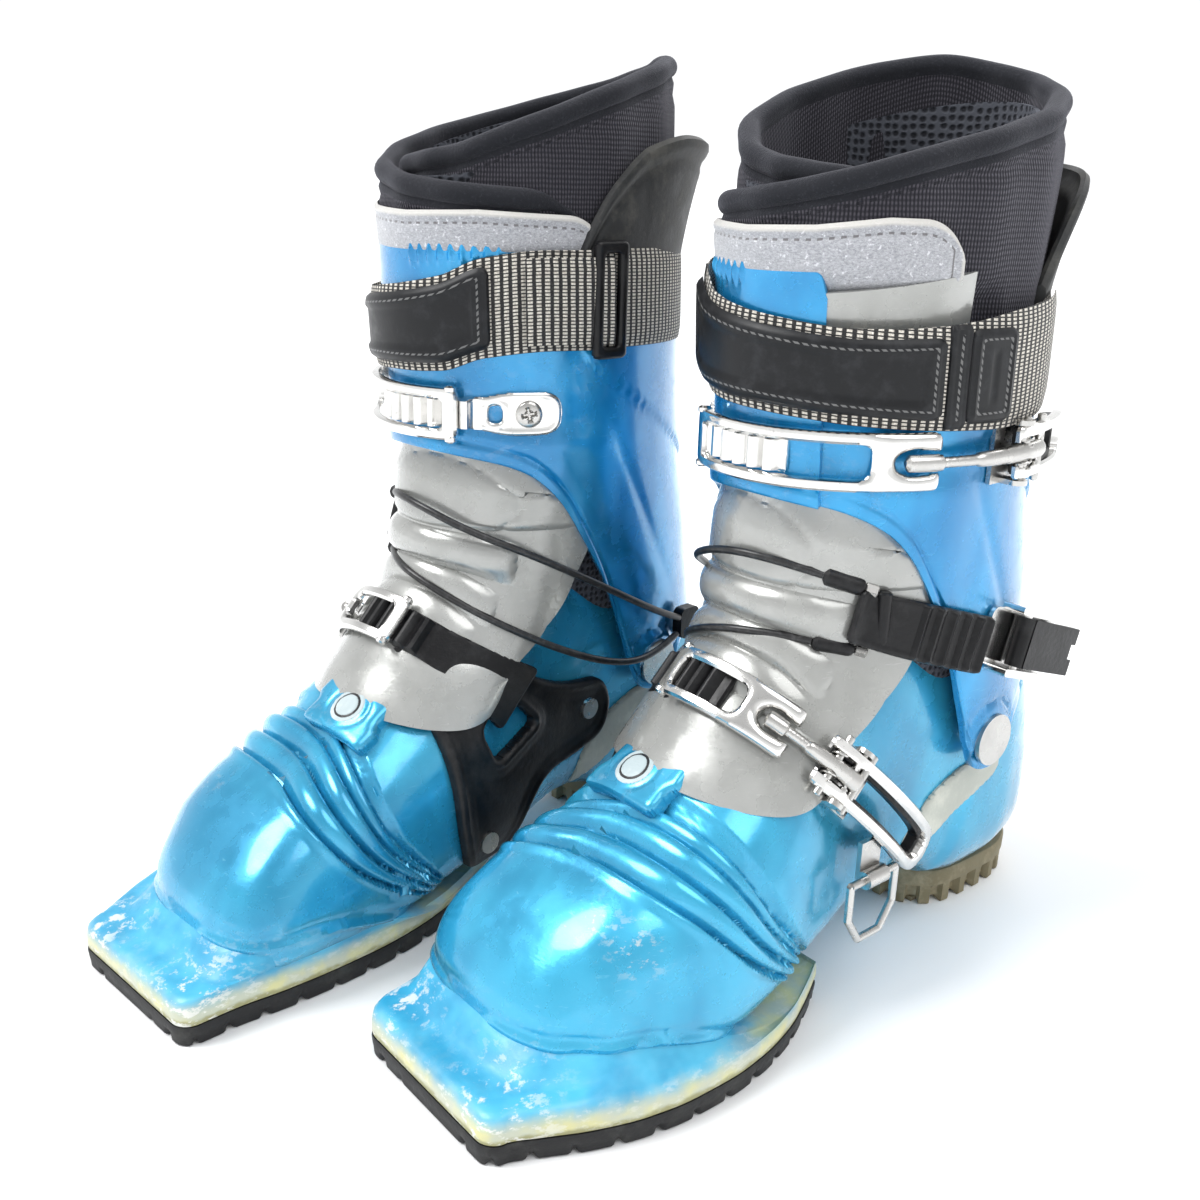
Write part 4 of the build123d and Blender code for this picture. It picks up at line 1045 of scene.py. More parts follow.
def power_strap():
    """Inner turn round the back, outer turn from the ring over the front, and its end folded through the ring."""
    at = np.arange(-52, 188, 1.4)
    low = np.interp(at, (-52, -10, 40, 90, 188), (220.5, 219, 222.5, 229, 231.5))
    high = low + np.interp(at, (-52, 0, 40), (29, 35, 37.5))
    inner = ribbon(at, low, high, 0.4 + bump(at, 90, 60), WEB_THICK)
    at = np.arange(-172, 38.5, 1.0)
    lift = 1.8 + 1.4 * ease((at + 66) / 16) + 1.4 * bump(at, -172, 10)
    lift += 0.5 * np.sin(np.radians(at * 7)) * ease((at - 10) / 15)
    low, high = follow(STRAP_EDGES, at)
    outer = ribbon(at, low, high, lift, WEB_THICK)
    at = np.arange(-171, -140, 1.0)
    fold = ribbon(at, low[: len(at)] + 2.5, high[: len(at)] - 2.5, 4.4 + 1.2 * bump(at, -171, 6), 1.6)
    mesh = finished(*join(inner[:2], outer[:2], fold[:2]))
    mark(mesh, "lay", np.concatenate([inner[2], outer[2], fold[2]]))
    return mesh


piece("power_strap_web", power_strap(), WEB, "shaft", replaces=("power_strap",))


def plate_on_leg(angles, low, high, off, thick, corner, bulge, rows=22):
    """A moulded plate round the leg with rounded corners; its lay is along, height, distance to the outline."""
    ends = np.minimum(angles - angles[0], angles[-1] - angles) * 0.95
    cut = corner - np.sqrt(np.clip(corner**2 - (corner - np.clip(ends, 0, corner)) ** 2, 0, None))
    angle, up = np.meshgrid(angles, np.linspace(0, 1, rows), indexing="ij")
    low, high = (low + cut)[:, None], (high - cut)[:, None]
    z = low + (high - low) * up
    edge = np.minimum(np.minimum(z - low, high - z), np.maximum(ends[:, None], 0))
    out = off_leg(angle, z, off + thick * quarter(edge / 1.1) + bulge(angle, z, edge))
    inn = off_leg(angle[:, ::-1], z[:, ::-1], off - 0.2)
    verts, faces = lattice(np.concatenate([out, inn], 1), close_v=True, cap=True)
    v = np.concatenate([z, z[:, ::-1]], 1)
    e = np.concatenate([edge, edge[:, ::-1]], 1)
    return verts, faces, np.stack([arc_of(angles)[:, None] + 0 * v, v, e], -1).reshape(-1, 3) * MM


def patch_material():
    """Smooth black rubber with a stitched border; `lay` holds the distance to the outline."""
    g = new_shader("label_rubber", specular_ior_level=0.28)
    lay = g.split(g.field("lay", "Vector"))
    grain = g.place()
    line = g.line(lay["Z"], 0.0034, 0.00035)
    seam = g.times(line, g.dashes(g.plus(lay["X"], lay["Y"]), 2600.0, -0.3))
    dust = g.cloud(grain, 120.0, 5.0, 0.7)
    colour = g.mix(g.span(dust, 0.45, 0.75), (0.008, 0.0085, 0.01), (0.022, 0.023, 0.026))
    colour = g.mix(seam, colour, (0.15, 0.15, 0.15))
    normal = g.bump(g.minus(seam, g.times(line, 0.6)), 0.6, 0.0004)
    normal = g.bump(g.cloud(grain, 700.0, 2.0), 0.12, 0.0002, normal)
    g.feed(base_color=colour, roughness=g.span(dust, 0.3, 0.7, 0.34, 0.5), normal=normal)
    return g.owner


LABEL = patch_material()


def plates(*parts):
    mesh = finished(*join(*(part[:2] for part in parts)))
    mark(mesh, "lay", np.concatenate([part[2] for part in parts]))
    return mesh


def label():
    """Rubber patch on the strap's front, with a raised border."""
    def face(angle, z, edge):
        return 0.7 * ease((edge - 1.9) / 0.8) - 0.9 * ease((edge - 5.0) / 1.2)

    angles = np.arange(-129, -23.5, 0.6)
    low, high = follow(STRAP_EDGES, angles)
    return plates(plate_on_leg(angles, low + 3.2, high - 3.0, 4.6, 1.5, corner=3.5, bulge=face))


piece("strap_label", label(), LABEL, "shaft", replaces=("strap_patch",))


def pull_tab():
    """Stitched block and thin moulded pull at the strap's outer end."""
    def stitched_face(angle, z, edge):
        rows = bump(((z - 3) / 3.3) % 1.0, 0.5, 0.25) * (bump(angle, -21.4, 0.5) + bump(angle, -18.2, 0.5))
        return -0.35 * rows

    def pull_face(angle, z, edge):
        return 0.7 * bump(edge, 2.4, 0.6) - 0.5 * ease(edge - 7)

    return plates(
        plate_on_leg(np.arange(-23.6, -16.2, 0.4), 218, 252.6, 5.0, 1.3, corner=1.5, bulge=stitched_face),
        plate_on_leg(np.arange(-17, 1.5, 0.6), 219.5, 251, 5.4, 1.2, corner=3.0, bulge=pull_face),
    )


piece("strap_pull", pull_tab(), LABEL, "shaft")


# ----------------------------------------------------- stamped sheet parts
def rounded(points, radius, steps=6):
    """A closed outline with its corners rounded; `radius` is one number or one for each corner."""
    points = np.array(points, float)
    count = len(points)
    radii = np.broadcast_to(radius, count)
    out = []
    for i in range(count):
        before, here, after = points[i - 1], points[i], points[(i + 1) % count]
        a, b = before - here, after - here
        la, lb = np.linalg.norm(a), np.linalg.norm(b)
        r = min(radii[i], 0.49 * la, 0.49 * lb)
        p, q = here + a / la * r, here + b / lb * r
        for t in np.linspace(0, 1, steps):
            out.append((1 - t) ** 2 * p + 2 * t * (1 - t) * here + t * t * q)
    return np.array(out)


def inside_distance(loops, points):
    """Distance to the nearest edge of a shape with holes, positive inside."""
    best = np.full(len(points), 1e9)
    hits = np.zeros(len(points), int)
    nearest = np.zeros((len(points), 2))
    for loop in loops:
        for a, b in zip(loop, np.roll(loop, -1, 0)):
            d = b - a
            size = d @ d
            if size < 1e-12:
                continue
            t = np.clip(((points - a) @ d) / size, 0, 1)
            foot = a + t[:, None] * d
            gap = np.hypot(*(points - foot).T)
            closer = gap < best
            best[closer] = gap[closer]
            nearest[closer] = foot[closer]
            crosses = (a[1] > points[:, 1]) != (b[1] > points[:, 1])
            with np.errstate(divide="ignore", invalid="ignore"):
                x = a[0] + (points[:, 1] - a[1]) * d[0] / d[1]
            hits += crosses & (points[:, 0] < x)
    return np.where(hits % 2 == 1, best, -best), nearest


def stamped(loops, place, thick, step=0.8, edge=0.7, relief=None, under=0.0):
    """A plate cut to an outline with holes, laid on a surface by place(u, v, height)."""
    low, high = loops[0].min(0) - step, loops[0].max(0) + step
    us, vs = (np.arange(low[k], high[k] + step, step) for k in (0, 1))
    u, v = np.meshgrid(us, vs, indexing="ij")
    points = np.column_stack([u.ravel(), v.ravel()])
    gap, nearest = inside_distance(loops, points)
    near = gap > FROM_EDGE * step
    index = np.arange(len(points)).reshape(u.shape)
    quads = np.stack([index[:-1, :-1], index[1:, :-1], index[1:, 1:], index[:-1, 1:]], -1).reshape(-1, 4)
    quads = quads[near[quads].all(1) & (gap[quads].max(1) > 0.02)]
    points = np.where((gap < 0.25 * step)[:, None], nearest, points)
    gap = np.where(gap < 0.25 * step, 0, gap)
    used = np.unique(quads)
    back = np.full(len(points), -1)
    back[used] = np.arange(len(used))
    quads = back[quads]
    points, gap = points[used], gap[used]
    height = thick - edge + edge * quarter(gap / edge)
    if relief is not None:
        height = height + relief(points[:, 0], points[:, 1], gap)
    top = place(points[:, 0], points[:, 1], height)
    bottom = place(points[:, 0], points[:, 1], np.full(len(points), under))
    count = len(points)
    faces = [tuple(q) for q in quads] + [tuple(q[::-1] + count) for q in quads]
    sides = dict.fromkeys((a, b) for q in quads for a, b in zip(q, np.roll(q, -1)))
    faces += [(b, a, a + count, b + count) for a, b in sides if (b, a) not in sides]
    faces = [tuple(int(i) for i in f) for f in faces]
    return np.vstack([top, bottom]), faces


def on_oval(oval, lean, base=0.0):
    """place() for a plate wrapped on a buckle's oval: u is degrees times 1 mm, v the plane's height."""
    centre, half, length = oval
    c, s = math.cos(rad(lean)), math.sin(rad(lean))

    def place(u, v, h):
        a = np.radians(u)
        x = (half + base + h) * np.cos(a)
        y = centre + (length + base + h) * np.sin(a)
        return np.column_stack([x, y * c + v * s, -y * s + v * c])

    return place


def box_loop(u0, u1, v0, v1, radius, steps=6):
    return rounded([(u0, v0), (u1, v0), (u1, v1), (u0, v1)], radius, steps)


def turned(points):
    """A hole's outline runs the other way round."""
    return points[::-1]


def tube(path, radius, sides=18):
    """A round bar along points; `radius` is one number or one for each point; its ends are rounded."""
    path = np.array(path, float)
    radii = np.broadcast_to(radius, len(path))
    tangent = unit(np.gradient(path, axis=0))
    side = np.cross(tangent[0], (0, 0, 1) if abs(tangent[0, 2]) < 0.9 else (1, 0, 0))
    turn = np.radians(np.arange(sides) * 360 / sides)[:, None]
    rings = []
    for i, (point, way, size) in enumerate(zip(path, tangent, radii)):
        side = unit(side - way * (side @ way))
        ring = size * (np.cos(turn) * side + np.sin(turn) * np.cross(way, side))
        if i == 0:
            rings += [point + 0.6 * ring, point + 0.3 * size * way + ring]
        elif i == len(path) - 1:
            rings += [point - 0.3 * size * way + ring, point + 0.6 * ring]
        else:
            rings.append(point + ring)
    return lattice(np.array(rings), close_v=True, cap=True)


def oval_point(place, u, v, h):
    return place(*(np.array([float(value)]) for value in (u, v, h)))[0]


def dome_head(centre, axis, radius, height, slot_width, sides=32):
    """A domed screw head standing on a point, with a cross recess."""
    axis = unit(axis)
    side = unit(np.cross(axis, (0.3, 0.9, 0.1)))
    up = np.cross(axis, side)
    rings = []
    for r, h in ((1.0, 0.0), (1.0, 0.35), (0.93, 0.62), (0.8, 0.8), (0.62, 0.92), (0.4, 0.98), (0.2, 1.0),
        (0.02, 1.0)):
        ring = []
        for k in range(sides):
            t = 2 * math.pi * k / sides
            x, y = radius * r * math.cos(t), radius * r * math.sin(t)
            in_slot = min(abs(x), abs(y)) < slot_width and max(abs(x), abs(y)) < radius * 0.6
            dip = height * 0.75 if in_slot else 0
            ring.append(centre + side * x + up * y + axis * (height * h - dip))
        rings.append(ring)
    return lattice(np.array(rings), close_v=True, cap=True)


def dress(name, mat):
    """A better material on a CAD node that keeps its shape."""
    for side in SIDES:
        node = frame["nodes"][f"{name}_{side}"]
        node.data.materials.clear()
        node.data.materials.append(mat)
        node.data.shade_smooth()
        node.data.set_sharp_from_angle(angle=rad(30))


def buckle(prefix, owner, oval, lean, low, pin, end, bail_pin, block_at, tip):
    """Bail, threaded rod with its barrel, horseshoe lever, its lining and its pins, for one buckle.

    `low` is the height of the lower edge on the oval. The other numbers are places along it, in degrees: the
    lever's pin and end, the bail's pin on the lever, the bail's block for the rod, and its tip on the ladder.
    """
    high, mid = low + 20, low + 10
    skin = on_oval(oval, lean)
    window = box_loop(tip + 5.5, block_at - 19.5, low + 4.0, high - 4.0, (3.2, 4.5, 4.5, 3.2))
    notch = [
        (block_at + 1, low), (block_at + 1, mid - 3.4), (block_at - 8, mid - 4.6), (block_at - 12.5,
            mid - 2.4),
        (block_at - 12.5, mid + 2.4), (block_at - 8, mid + 4.6), (block_at + 1, mid + 3.4), (block_at + 1,
            high),
        (tip, high), (tip, low),
    ]
    outline = rounded(notch, (3, 1.2, 3, 2.6, 2.6, 3, 1.2, 3, 3.5, 3.5))

    def frame_relief(u, v, gap):
        swell = 0.8 * ease((u - block_at + 26) / 14) * ease(gap / 2.5)
        return swell - 0.9 * bump(v, mid, 3.2) * ease((u - block_at + 17) / 4)

    loops = [outline, turned(window)]
    parts = [stamped(loops, on_oval(oval, lean, 4.2), 2.9, step=0.85, edge=1.1, relief=frame_relief)]
    for v in (low + 0.4, high - 0.4):
        a, b = (oval_point(skin, tip + 2.5, v + half, 5.6) for half in (-1.4, 1.4))
        parts.append(tube(np.linspace(a, b, 4), 2.3))
    bar = [oval_point(skin, tip + 2.2, v, 4.2) for v in np.linspace(low + 1, high - 1, 5)]
    parts.append(tube(bar, 1.5))
    piece(f"{prefix}_frame", finished(*join(*parts)), CHROME, f"{owner}_bail",
        replaces=(f"{owner}_bail",))
    us = np.linspace(block_at - 10, bail_pin, 60)
    rod_path = skin(us, np.full_like(us, mid), 6.6 + 0.6 * ease((us - block_at) / 20))
    ridge = 1.75 + 0.22 * np.abs(np.sin(np.arange(60) * 1.9))
    share = np.linspace(0, 1, 60)
    barrel = np.interp(share, (0, 0.02, 0.2, 0.24, 0.42, 0.45, 0.97, 1.0),
        (1.9, 3.0, 3.0, 1.9, 1.9, 2.6, 3.7, 3.2))
    radius = np.where((share > 0.22) & (share < 0.43), ridge, barrel)
    piece(f"{prefix}_rod", finished(*tube(rod_path, radius, sides=22)), STEEL, f"{owner}_bail")

    lever_end = end + 2
    arms = box_loop(pin - 5, lever_end, low + 0.3, high - 0.3, (2.5, 9.5, 9.5, 2.5), 12)
    hole = box_loop(pin + 7, lever_end - 5, mid - 5.4, mid + 5.4, (2, 5.3, 5.3, 2), 12)
    mouth = box_loop(pin - 4.2, pin + 6, mid - 5.2, mid + 5.2, 1.0)
    inner_arms = box_loop(pin - 2, lever_end - 1, low + 1.2, high - 1.2, (2, 8.6, 8.6, 2), 12)
    inner_hole = box_loop(pin - 1, lever_end - 6.2, mid - 4.2, mid + 4.2, (1, 4.2, 4.2, 1), 12)

    def bow(u, v, gap):
        return 1.3 * ease((u - pin) / (lever_end - pin)) + 0.5 * bump(v, mid, 7)

    def lining_relief(u, v, gap):
        return 1.2 * ease((u - pin) / (lever_end - pin))

    loops, place = [arms, turned(hole), turned(mouth)], on_oval(oval, lean, 6.4)
    shell_part = stamped(loops, place, 2.6, step=0.85, edge=1.0, relief=bow, under=0.4)
    loops, place = [inner_arms, turned(inner_hole)], on_oval(oval, lean, 3.4)
    lining = stamped(loops, place, 3.2, step=0.9, edge=0.6, relief=lining_relief)
    piece(f"{prefix}_lever_bow", finished(*shell_part), CHROME, f"{owner}_lever",
        replaces=(f"{owner}_lever",))
    piece(f"{prefix}_lever_lining", finished(*lining), STRAP_BLACK, f"{owner}_lever")
    pins = []
    for u, h in ((pin, 7.2), (bail_pin, 7.4)):
        a, b = oval_point(skin, u, low - 2.2, h), oval_point(skin, u, high + 2.2, h)
        pins.append(tube(np.linspace(a, b, 6), 1.6))
    # spring coiled round the lever's pin
    turns = np.linspace(0, SPRING_TURNS * 2 * math.pi, 110)[:, None]
    heights = np.linspace(low + 4, low + 16, 110)
    centre_line = skin(np.full(110, float(pin)), heights, np.full(110, 7.2))
    start = oval_point(skin, pin, mid, 7.2)
    outward = oval_point(skin, pin, mid, 8.2) - start
    onward = unit(oval_point(skin, pin + 1, mid, 7.2) - start)
    pins.append(tube(centre_line + 2.6 * (np.cos(turns) * outward + np.sin(turns) * onward), 0.45, sides=8))
    piece(f"{prefix}_pins", finished(*join(*pins)), STEEL, f"{owner}_lever")


# centre, half-width and half-length of the ovals that the straps lie on
CUFF_OVAL = (48.6, 51.6, 67.6)
INSTEP_OVAL = (-45.0, 48.5, 67.0)
ANKLE_OVAL = (10.0, 53.2, 75.5)
STRAP_OVAL = (46.0, 52.0, 67.4)
SPRING_TURNS = 4.5
INSTEP_LEAN = 45
buckle("upper_buckle", "cuff", CUFF_OVAL, 0, 197.5, pin=8, end=43, bail_pin=17, block_at=-25, tip=-116)
buckle("lower_buckle", "instep", INSTEP_OVAL, INSTEP_LEAN, 52.0, pin=-32, end=22, bail_pin=-22, block_at=-48,
    tip=-104)


def ladder_teeth(start, stop, count, height):
    """Saw teeth across a ladder between two angles."""
    def relief(u, v, gap):
        phase = (u - start) / (stop - start) * count
        part = phase % 1.0
        saw = np.where(part < 0.35, part / 0.35, 1 - (part - 0.35) / 0.65)
        return np.where((phase > 0) & (phase < count), height * np.clip(saw * 1.5, 0, 1) * ease(gap / 0.9), 0)

    return relief


def upper_ladder():
    """Toothed plate on the inner side, held by one screw, with a slot for moving it."""
    low, high = 199.0, 216.0
    outline = rounded(
        [(-153, low), (-133, low), (-124, low + 2.2), (-72, low + 2.2), (-72, high - 2.2), (-124, high - 2.2),
         (-133, high), (-153, high)],
        (8, 6, 6, 1.5, 1.5, 6, 6, 8), 8)
    slot = box_loop(-131.5, -126.5, 204.2, 210.8, 2.4)
    teeth = ladder_teeth(-121, -74, 7, 3.4)

    def relief(u, v, gap):
        return teeth(u, v, gap) + 0.5 * bump(gap, 1.5, 0.9) * (u < -124)

    return finished(*stamped([outline, turned(slot)], on_oval(CUFF_OVAL, 0), 1.9, step=0.62, edge=0.6,
        relief=relief))


def ladder_screw():
    skin = on_oval(CUFF_OVAL, 0)
    outward = oval_point(skin, -141, 207.5, 3) - oval_point(skin, -141, 207.5, 2)
    return finished(*dome_head(oval_point(skin, -141, 207.5, 1.6), outward, 5.2, 2.2, slot_width=0.7))


piece("upper_ladder", upper_ladder(), CHROME, "shaft", replaces=("cuff_ladder",))
piece("ladder_screw", ladder_screw(), STEEL, "shaft", replaces=("cuff_screws",))


# ---------------------------------------------- strap over the instep
def shell_side_place(sign, base):
    """place() for a plate on the shell's side: u is y, v is z."""
    def place(y, z, h):
        half, top, low, mid, square, middle = follow(FOOT, y)
        s = np.clip(np.where(z > mid, (z - mid) / (top - mid), (mid - z) / (mid - low + 1e-6)), 0, 0.985)
        x = half * np.sqrt(1 - s**2) ** np.where(z > mid, square, 0.8)
        return np.column_stack([middle + sign * (x + base + h), y, z])

    return place


def instep_strap():
    """Forked black strap on the inner side, and the toothed strip that it ends in."""
    fork = rounded(
        [(-40, 118), (-20, 113), (0, 103), (22, 91), (48, 88), (53, 76), (48, 62), (30, 57), (12, 55),
            (2, 46), (-5, 34),
         (-11, 26), (-34, 26), (-38, 44), (-38, 70), (-41, 95)],
        (4, 20, 20, 16, 8, 8, 10, 14, 14, 12, 10, 8, 8, 16, 20, 10), 8)
    hole = rounded([(-10, 97), (6, 80), (-18, 70), (-23, 84)], 4)

    def relief(u, v, gap):
        return 0.9 * bump(gap, 2.2, 1.3) - 0.5 * ease((gap - 5) / 3)

    place = shell_side_place(-1, 2.0)
    side = stamped([fork, turned(hole)], place, 3.0, step=1.0, edge=1.2, relief=relief, under=-1.5)
    teeth = ladder_teeth(-116, -80, 6, 3.2)
    low, high = 54.0, 70.0
    strip = rounded(
        [(-160, low - 6), (-140, low - 2), (-122, low), (-76, low), (-76, high), (-122, high),
            (-140, high + 2),
         (-160, high + 8)],
        (3, 8, 8, 1.5, 1.5, 8, 8, 3))
    ladder = stamped([strip], on_oval(INSTEP_OVAL, INSTEP_LEAN), 2.4, step=0.8, edge=0.8, relief=teeth,
        under=-0.5)
    return finished(*join(side, ladder))


piece("instep_web", instep_strap(), STRAP_BLACK, "foot", replaces=("instep_strap",))


# ------------------------------------------------------- ankle strap, cables
def ankle_strap():
    """Ribbed strap from the ratchet to the cables' roller."""
    corners = [(-47.5, 135.5), (-30, 134.5), (2, 134), (2, 156), (-30, 155.5), (-47.5, 154.5)]
    outline = rounded(corners, (1.5, 4, 2, 2, 4, 1.5))

    def relief(u, v, gap):
        rib = np.clip(np.sin((u + 27) / 2.55 * math.pi), -0.2, 1)
        roll = 1.6 * bump(u, -46, 1.6)
        return np.where(u > -27, 1.5 * rib * ease(gap / 1.2), 0) + roll + 0.3 * bump(gap, 1.5, 0.8)

    return finished(*stamped([outline], on_oval(ANKLE_OVAL, 18, 0.2), 2.2, step=0.7, edge=0.8, relief=relief))


piece("ankle_web", ankle_strap(), STRAP_BLACK, "shaft", replaces=("ankle_strap",))
# the cables' routes from the ferrule round the front to the anchor on the inner side
UPPER_CABLE = (
    (27.5, -6.5, 166), (13, -19, 171), (-8, -23, 170), (-28, -15, 162), (-46, 8, 150), (-56, 38, 133), (-56.5,
        69, 116), (-54, 86, 108.6),
)
LOWER_CABLE = (
    (27, -9, 142), (9, -23, 144), (-12, -24.5, 139), (-35, -12, 127), (-51, 14, 111), (-57, 42, 99), (-57, 66,
        96), (-54, 85, 101.2),
)
FERRULES = (((41, 9, 160), UPPER_CABLE[0]), ((41, 9.5, 137.5), LOWER_CABLE[0]))


def cable_sleeve():
    g = new_shader("cable_sleeve", roughness=0.34, specular_ior_level=0.5)
    dust = g.cloud(g.place(), 400.0, 4.0, 0.7)
    colour = g.mix(g.span(dust, 0.45, 0.75), (0.012, 0.012, 0.013), (0.05, 0.05, 0.052))
    g.feed(base_color=colour, normal=g.bump(dust, 0.1, 0.0002))
    return g.owner


SLEEVE = cable_sleeve()
CABLE_DIAMETER = 0.003


def cable(name, route, side):
    curve = bpy.data.curves.new(f"{name}_{side}", "CURVE")
    curve.dimensions = "3D"
    curve.bevel_depth = CABLE_DIAMETER / 2
    curve.bevel_resolution = 6
    curve.use_fill_caps = True
    curve.resolution_u = 12
    spline = curve.splines.new("NURBS")
    spline.points.add(len(route) - 1)
    for point, at in zip(spline.points, route):
        point.co = (*(BOOT[side] @ Vector(at)), 1.0)
    spline.order_u = 3
    spline.use_endpoint_u = True
    curve.materials.append(SLEEVE)
    obj = linked(f"{name}_{side}", curve)
    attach(obj, f"{side}_shaft")


for side in SIDES:
    cable("upper_cable", UPPER_CABLE, side)
    cable("lower_cable", LOWER_CABLE, side)
sleeves, nuts = [], []
for rear, front in FERRULES:
    front = np.array(front, float)
    way = unit(rear - front)
    line = np.linspace(front, front + way * 15.5, 12)
    radii = np.interp(np.linspace(0, 1, 12), (0, 0.1, 0.85, 1), (2.6, 3.3, 3.3, 2.8))
    sleeves.append(tube(line, radii, sides=10))
    nuts.append(tube(np.linspace(front + way * 15, front + way * 20.5, 4), 2.7, sides=6))
sleeves.append(tube([(42.7, 9.5, z) for z in np.linspace(139, 161, 5)], 2.6, sides=16))
piece("cable_ferrules", finished(*join(*sleeves)), STRAP_BLACK, "shaft",
    replaces=("ankle_cables",))
piece("cable_nuts", finished(*join(*nuts)), STEEL, "shaft")

for mat, names in (
    (STRAP_BLACK, ("cable_anchor", "ratchet_lever", "walk_lever")),
    (STEEL, ("cuff_base", "instep_base", "gaiter_ring", "lock_bar", "shell_rivets")),
    (CHROME, ("ratchet_base",)),
):
    for name in names:
        dress(name, mat)


# ------------------------------------------------------------ instep tab and badge
def top_place(base):
    """place() for a plate lying on the instep: u is x, v is y."""
    def place(x, y, h):
        half, top, _, mid, square, middle = follow(FOOT, y)
        share = np.clip(np.abs(x - middle) / half, 0, 0.98) ** (1 / square)
        z = mid + (top - mid) * np.sqrt(1 - share**2)
        lean = np.column_stack([0.25 * (x - middle) / half, np.full_like(x, -0.6), np.full_like(x, 0.8)])
        return np.column_stack([x, y, z]) + lean * (base + h)[:, None]

    return place


BADGE_X, BADGE_Y = -6.8, -56.5


def instep_tab():
    """Blue tab behind the bellows, with a round recess for the badge."""
    corners = [(-25, -67), (12, -67), (11, -58), (14, -56), (12.5, -44), (-22, -44), (-22.5, -56), (-25, -58)]
    outline = rounded(corners, (4, 4, 2, 2, 4, 4, 2, 2))

    def relief(u, v, gap):
        recess = bump(np.hypot(u - BADGE_X, (v - BADGE_Y) * 1.2), 9.6, 1.0)
        return 0.6 * ease((-46 - v) / 6) * ease(gap / 3) - 0.5 * recess

    return finished(*stamped([outline], top_place(1.2), 3.4, step=0.9, edge=1.6, relief=relief, under=-3.0))


def badge(radius, low, rise):
    turn = np.radians(np.arange(0, 360, 6))
    circle = np.column_stack([radius * np.cos(turn) + BADGE_X, radius * np.sin(turn) * 0.85 + BADGE_Y])
    return finished(*stamped([circle], top_place(low), rise, step=0.6, edge=0.4))


tab = instep_tab()
mark(tab, "worn", np.full(len(tab.vertices), 0.1))
BADGE_WHITE = rubber("badge_white", (0.42, 0.5, 0.52), (0.6, 0.66, 0.66), 0.4, 900.0)
piece("instep_tab", tab, SHELL, "toe", turn=BELLOWS)
piece("tab_badge", badge(7.6, 4.6, 0.9), BADGE_WHITE, "toe", turn=BELLOWS)
piece("tab_badge_ring", badge(5.9, 5.3, 0.5), PATCH_BLACK, "toe", turn=BELLOWS)
piece("tab_badge_centre", badge(5.0, 5.5, 0.6), BADGE_WHITE, "toe", turn=BELLOWS)


# ------------------------------------------------------------------ spoiler
SPOILER_LOW = 246.0
SPOILER_TOP = ((22, 262), (28, 274), (38, 290), (55, 300), (90, 304), (125, 307), (152, 309.5), (170, 305),
    (186, 291), (196, 274), (201, 262))


def spoiler():
    """Rubber guard behind the liner, which leans out towards the back and has a bead along its rim."""
    angle, up = np.meshgrid(np.arange(22, 201.5, 1.5), np.linspace(0, 1, 30), indexing="ij")
    top = follow(SPOILER_TOP, angle)
    z = SPOILER_LOW + (top - SPOILER_LOW) * up
    lean = 0.2 + 0.8 * np.clip(1 - ((angle - 80) / 92) ** 2, 0, 1)
    off = 0.6 + 15.5 * lean * ((z - SPOILER_LOW) / 60) ** 1.5
    off += bump(top - z, 2.5, 2.5) - 0.8 * bump(top - z, 7.5, 2.0)
    outer = off_leg(angle, z, off)
    inner = off_leg(angle[:, ::-1], z[:, ::-1], off[:, ::-1] - 3.4)
    crown = off_leg(angle[:, -1:], z[:, -1:] + 1.3, off[:, -1:] - 1.7)
    return finished(*lattice(np.concatenate([outer, crown, inner], 1), close_v=True, cap=True))


piece("spoiler_cup", spoiler(), SPOILER_BLACK, "shaft", replaces=("spoiler",))


# ------------------------------------------------- stripe on the heel counter
def heel_stripe(sign):
    outline = [(34, 38), (48, 42), (68, 55), (97, 66), (100, 77), (72, 75), (52, 67), (37, 54)]
    return stamped([rounded(outline, 4)], shell_side_place(sign, 0.6), 1.3, step=1.2, edge=0.9, under=-2.0)


stripe = finished(*join(heel_stripe(1), heel_stripe(-1)))
STRIPE = rubber("stripe_white", (0.45, 0.47, 0.42), (0.62, 0.63, 0.56), 0.35, 300.0)
piece("heel_stripe", stripe, STRIPE, "foot")


# ------------------------------------------------- ring that the strap runs through
def strap_ring():
    outline = box_loop(-176, -163.5, 228, 272, 2.5)
    hole = box_loop(-172.6, -167, 232.5, 267.5, 1.5)

    def relief(u, v, gap):
        return 0.5 * bump(gap, 1.7, 1.2)

    place = on_oval(STRAP_OVAL, 0, 4.6)
    return finished(*stamped([outline, turned(hole)], place, 2.4, step=0.7, edge=1.0, relief=relief))


piece("strap_ring", strap_ring(), STRAP_BLACK, "shaft")


# ------------------------------------------------------------ camera, light
CAMERA_YAW, CAMERA_PITCH, CAMERA_ROLL = 50.0, 18.8, 1.57
CAMERA_PLACE = (0.36728, -0.30055, 0.29592)
FLOOR_HALF = 60


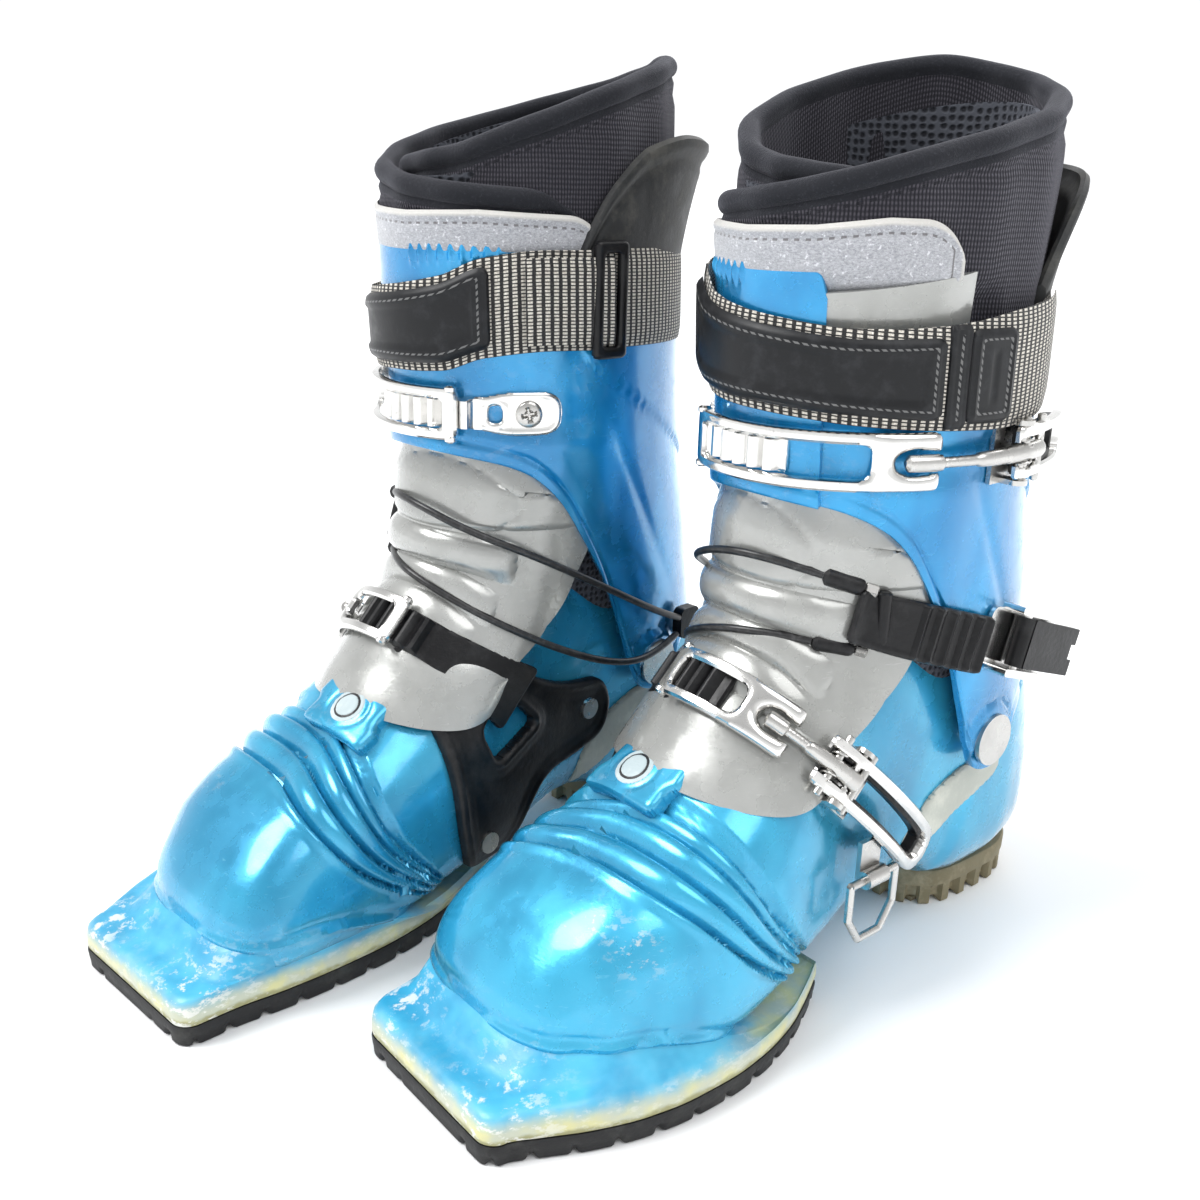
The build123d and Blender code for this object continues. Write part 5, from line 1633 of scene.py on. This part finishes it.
def camera():
    yaw, pitch, roll = rad(CAMERA_YAW), rad(CAMERA_PITCH), rad(CAMERA_ROLL)
    back = Vector((math.sin(yaw) * math.cos(pitch), -math.cos(yaw) * math.cos(pitch), math.sin(pitch)))
    right = Vector((math.cos(yaw), math.sin(yaw), 0))
    up = back.cross(right)
    x = math.cos(roll) * right + math.sin(roll) * up
    y = -math.sin(roll) * right + math.cos(roll) * up
    data = bpy.data.cameras.new("camera")
    data.lens = 37.64
    data.sensor_width = 36
    data.clip_start = 0.01
    obj = linked("camera", data)
    place = Matrix((x, y, back)).transposed().to_4x4()
    place.translation = CAMERA_PLACE
    obj.matrix_world = place
    bpy.context.scene.camera = obj


def area(name, place, aim, size, watts):
    data = bpy.data.lights.new(name, "AREA")
    data.shape = "RECTANGLE"
    data.size, data.size_y = size
    data.energy = watts
    obj = linked(name, data)
    obj.location = place
    obj.rotation_euler = (Vector(aim) - Vector(place)).to_track_quat("-Z", "Y").to_euler()


def sun(name, way, spread, strength):
    data = bpy.data.lights.new(name, "SUN")
    data.energy = strength
    data.angle = rad(spread)
    obj = linked(name, data)
    obj.rotation_euler = Vector(way).to_track_quat("Z", "Y").to_euler()


def studio():
    """Pale paper floor, soft sky, two wide suns and a light from behind."""
    g = new_shader("paper", roughness=0.85, specular_ior_level=0.1)
    speck = g.cloud(g.place(), 3.0, 2.0)
    g.feed(base_color=g.mix(speck, (0.90, 0.91, 0.92), (0.94, 0.945, 0.95)))
    size = FLOOR_HALF
    mesh = raw_mesh("floor", [(-size, -size, 0), (size, -size, 0), (size, size, 0), (-size, size, 0)],
        [(0, 1, 2, 3)])
    mesh.materials.append(g.owner)
    floor = linked("floor", mesh)
    room = Shader(bpy.data.worlds.new("room"), color=(0.98, 0.99, 1.0))
    height = room.split(room.node("TexCoord", {}, "Generated"))["Z"]
    room.feed(strength=room.span(height, 0.15, 0.6, 1.06, 0.62))
    bpy.context.scene.world = room.owner
    sun("key", (-0.55, -0.95, 1.5), 30, 2.6)
    sun("fill", (0.95, 0.2, 1.6), 40, 1.1)
    area("rim", (-0.5, 1.3, 1.2), (0, 0, 0.2), (1.4, 0.7), 9)
    bpy.context.scene.view_settings.view_transform = "Standard"
    bpy.context.scene.view_settings.look = "None"


camera()
studio()
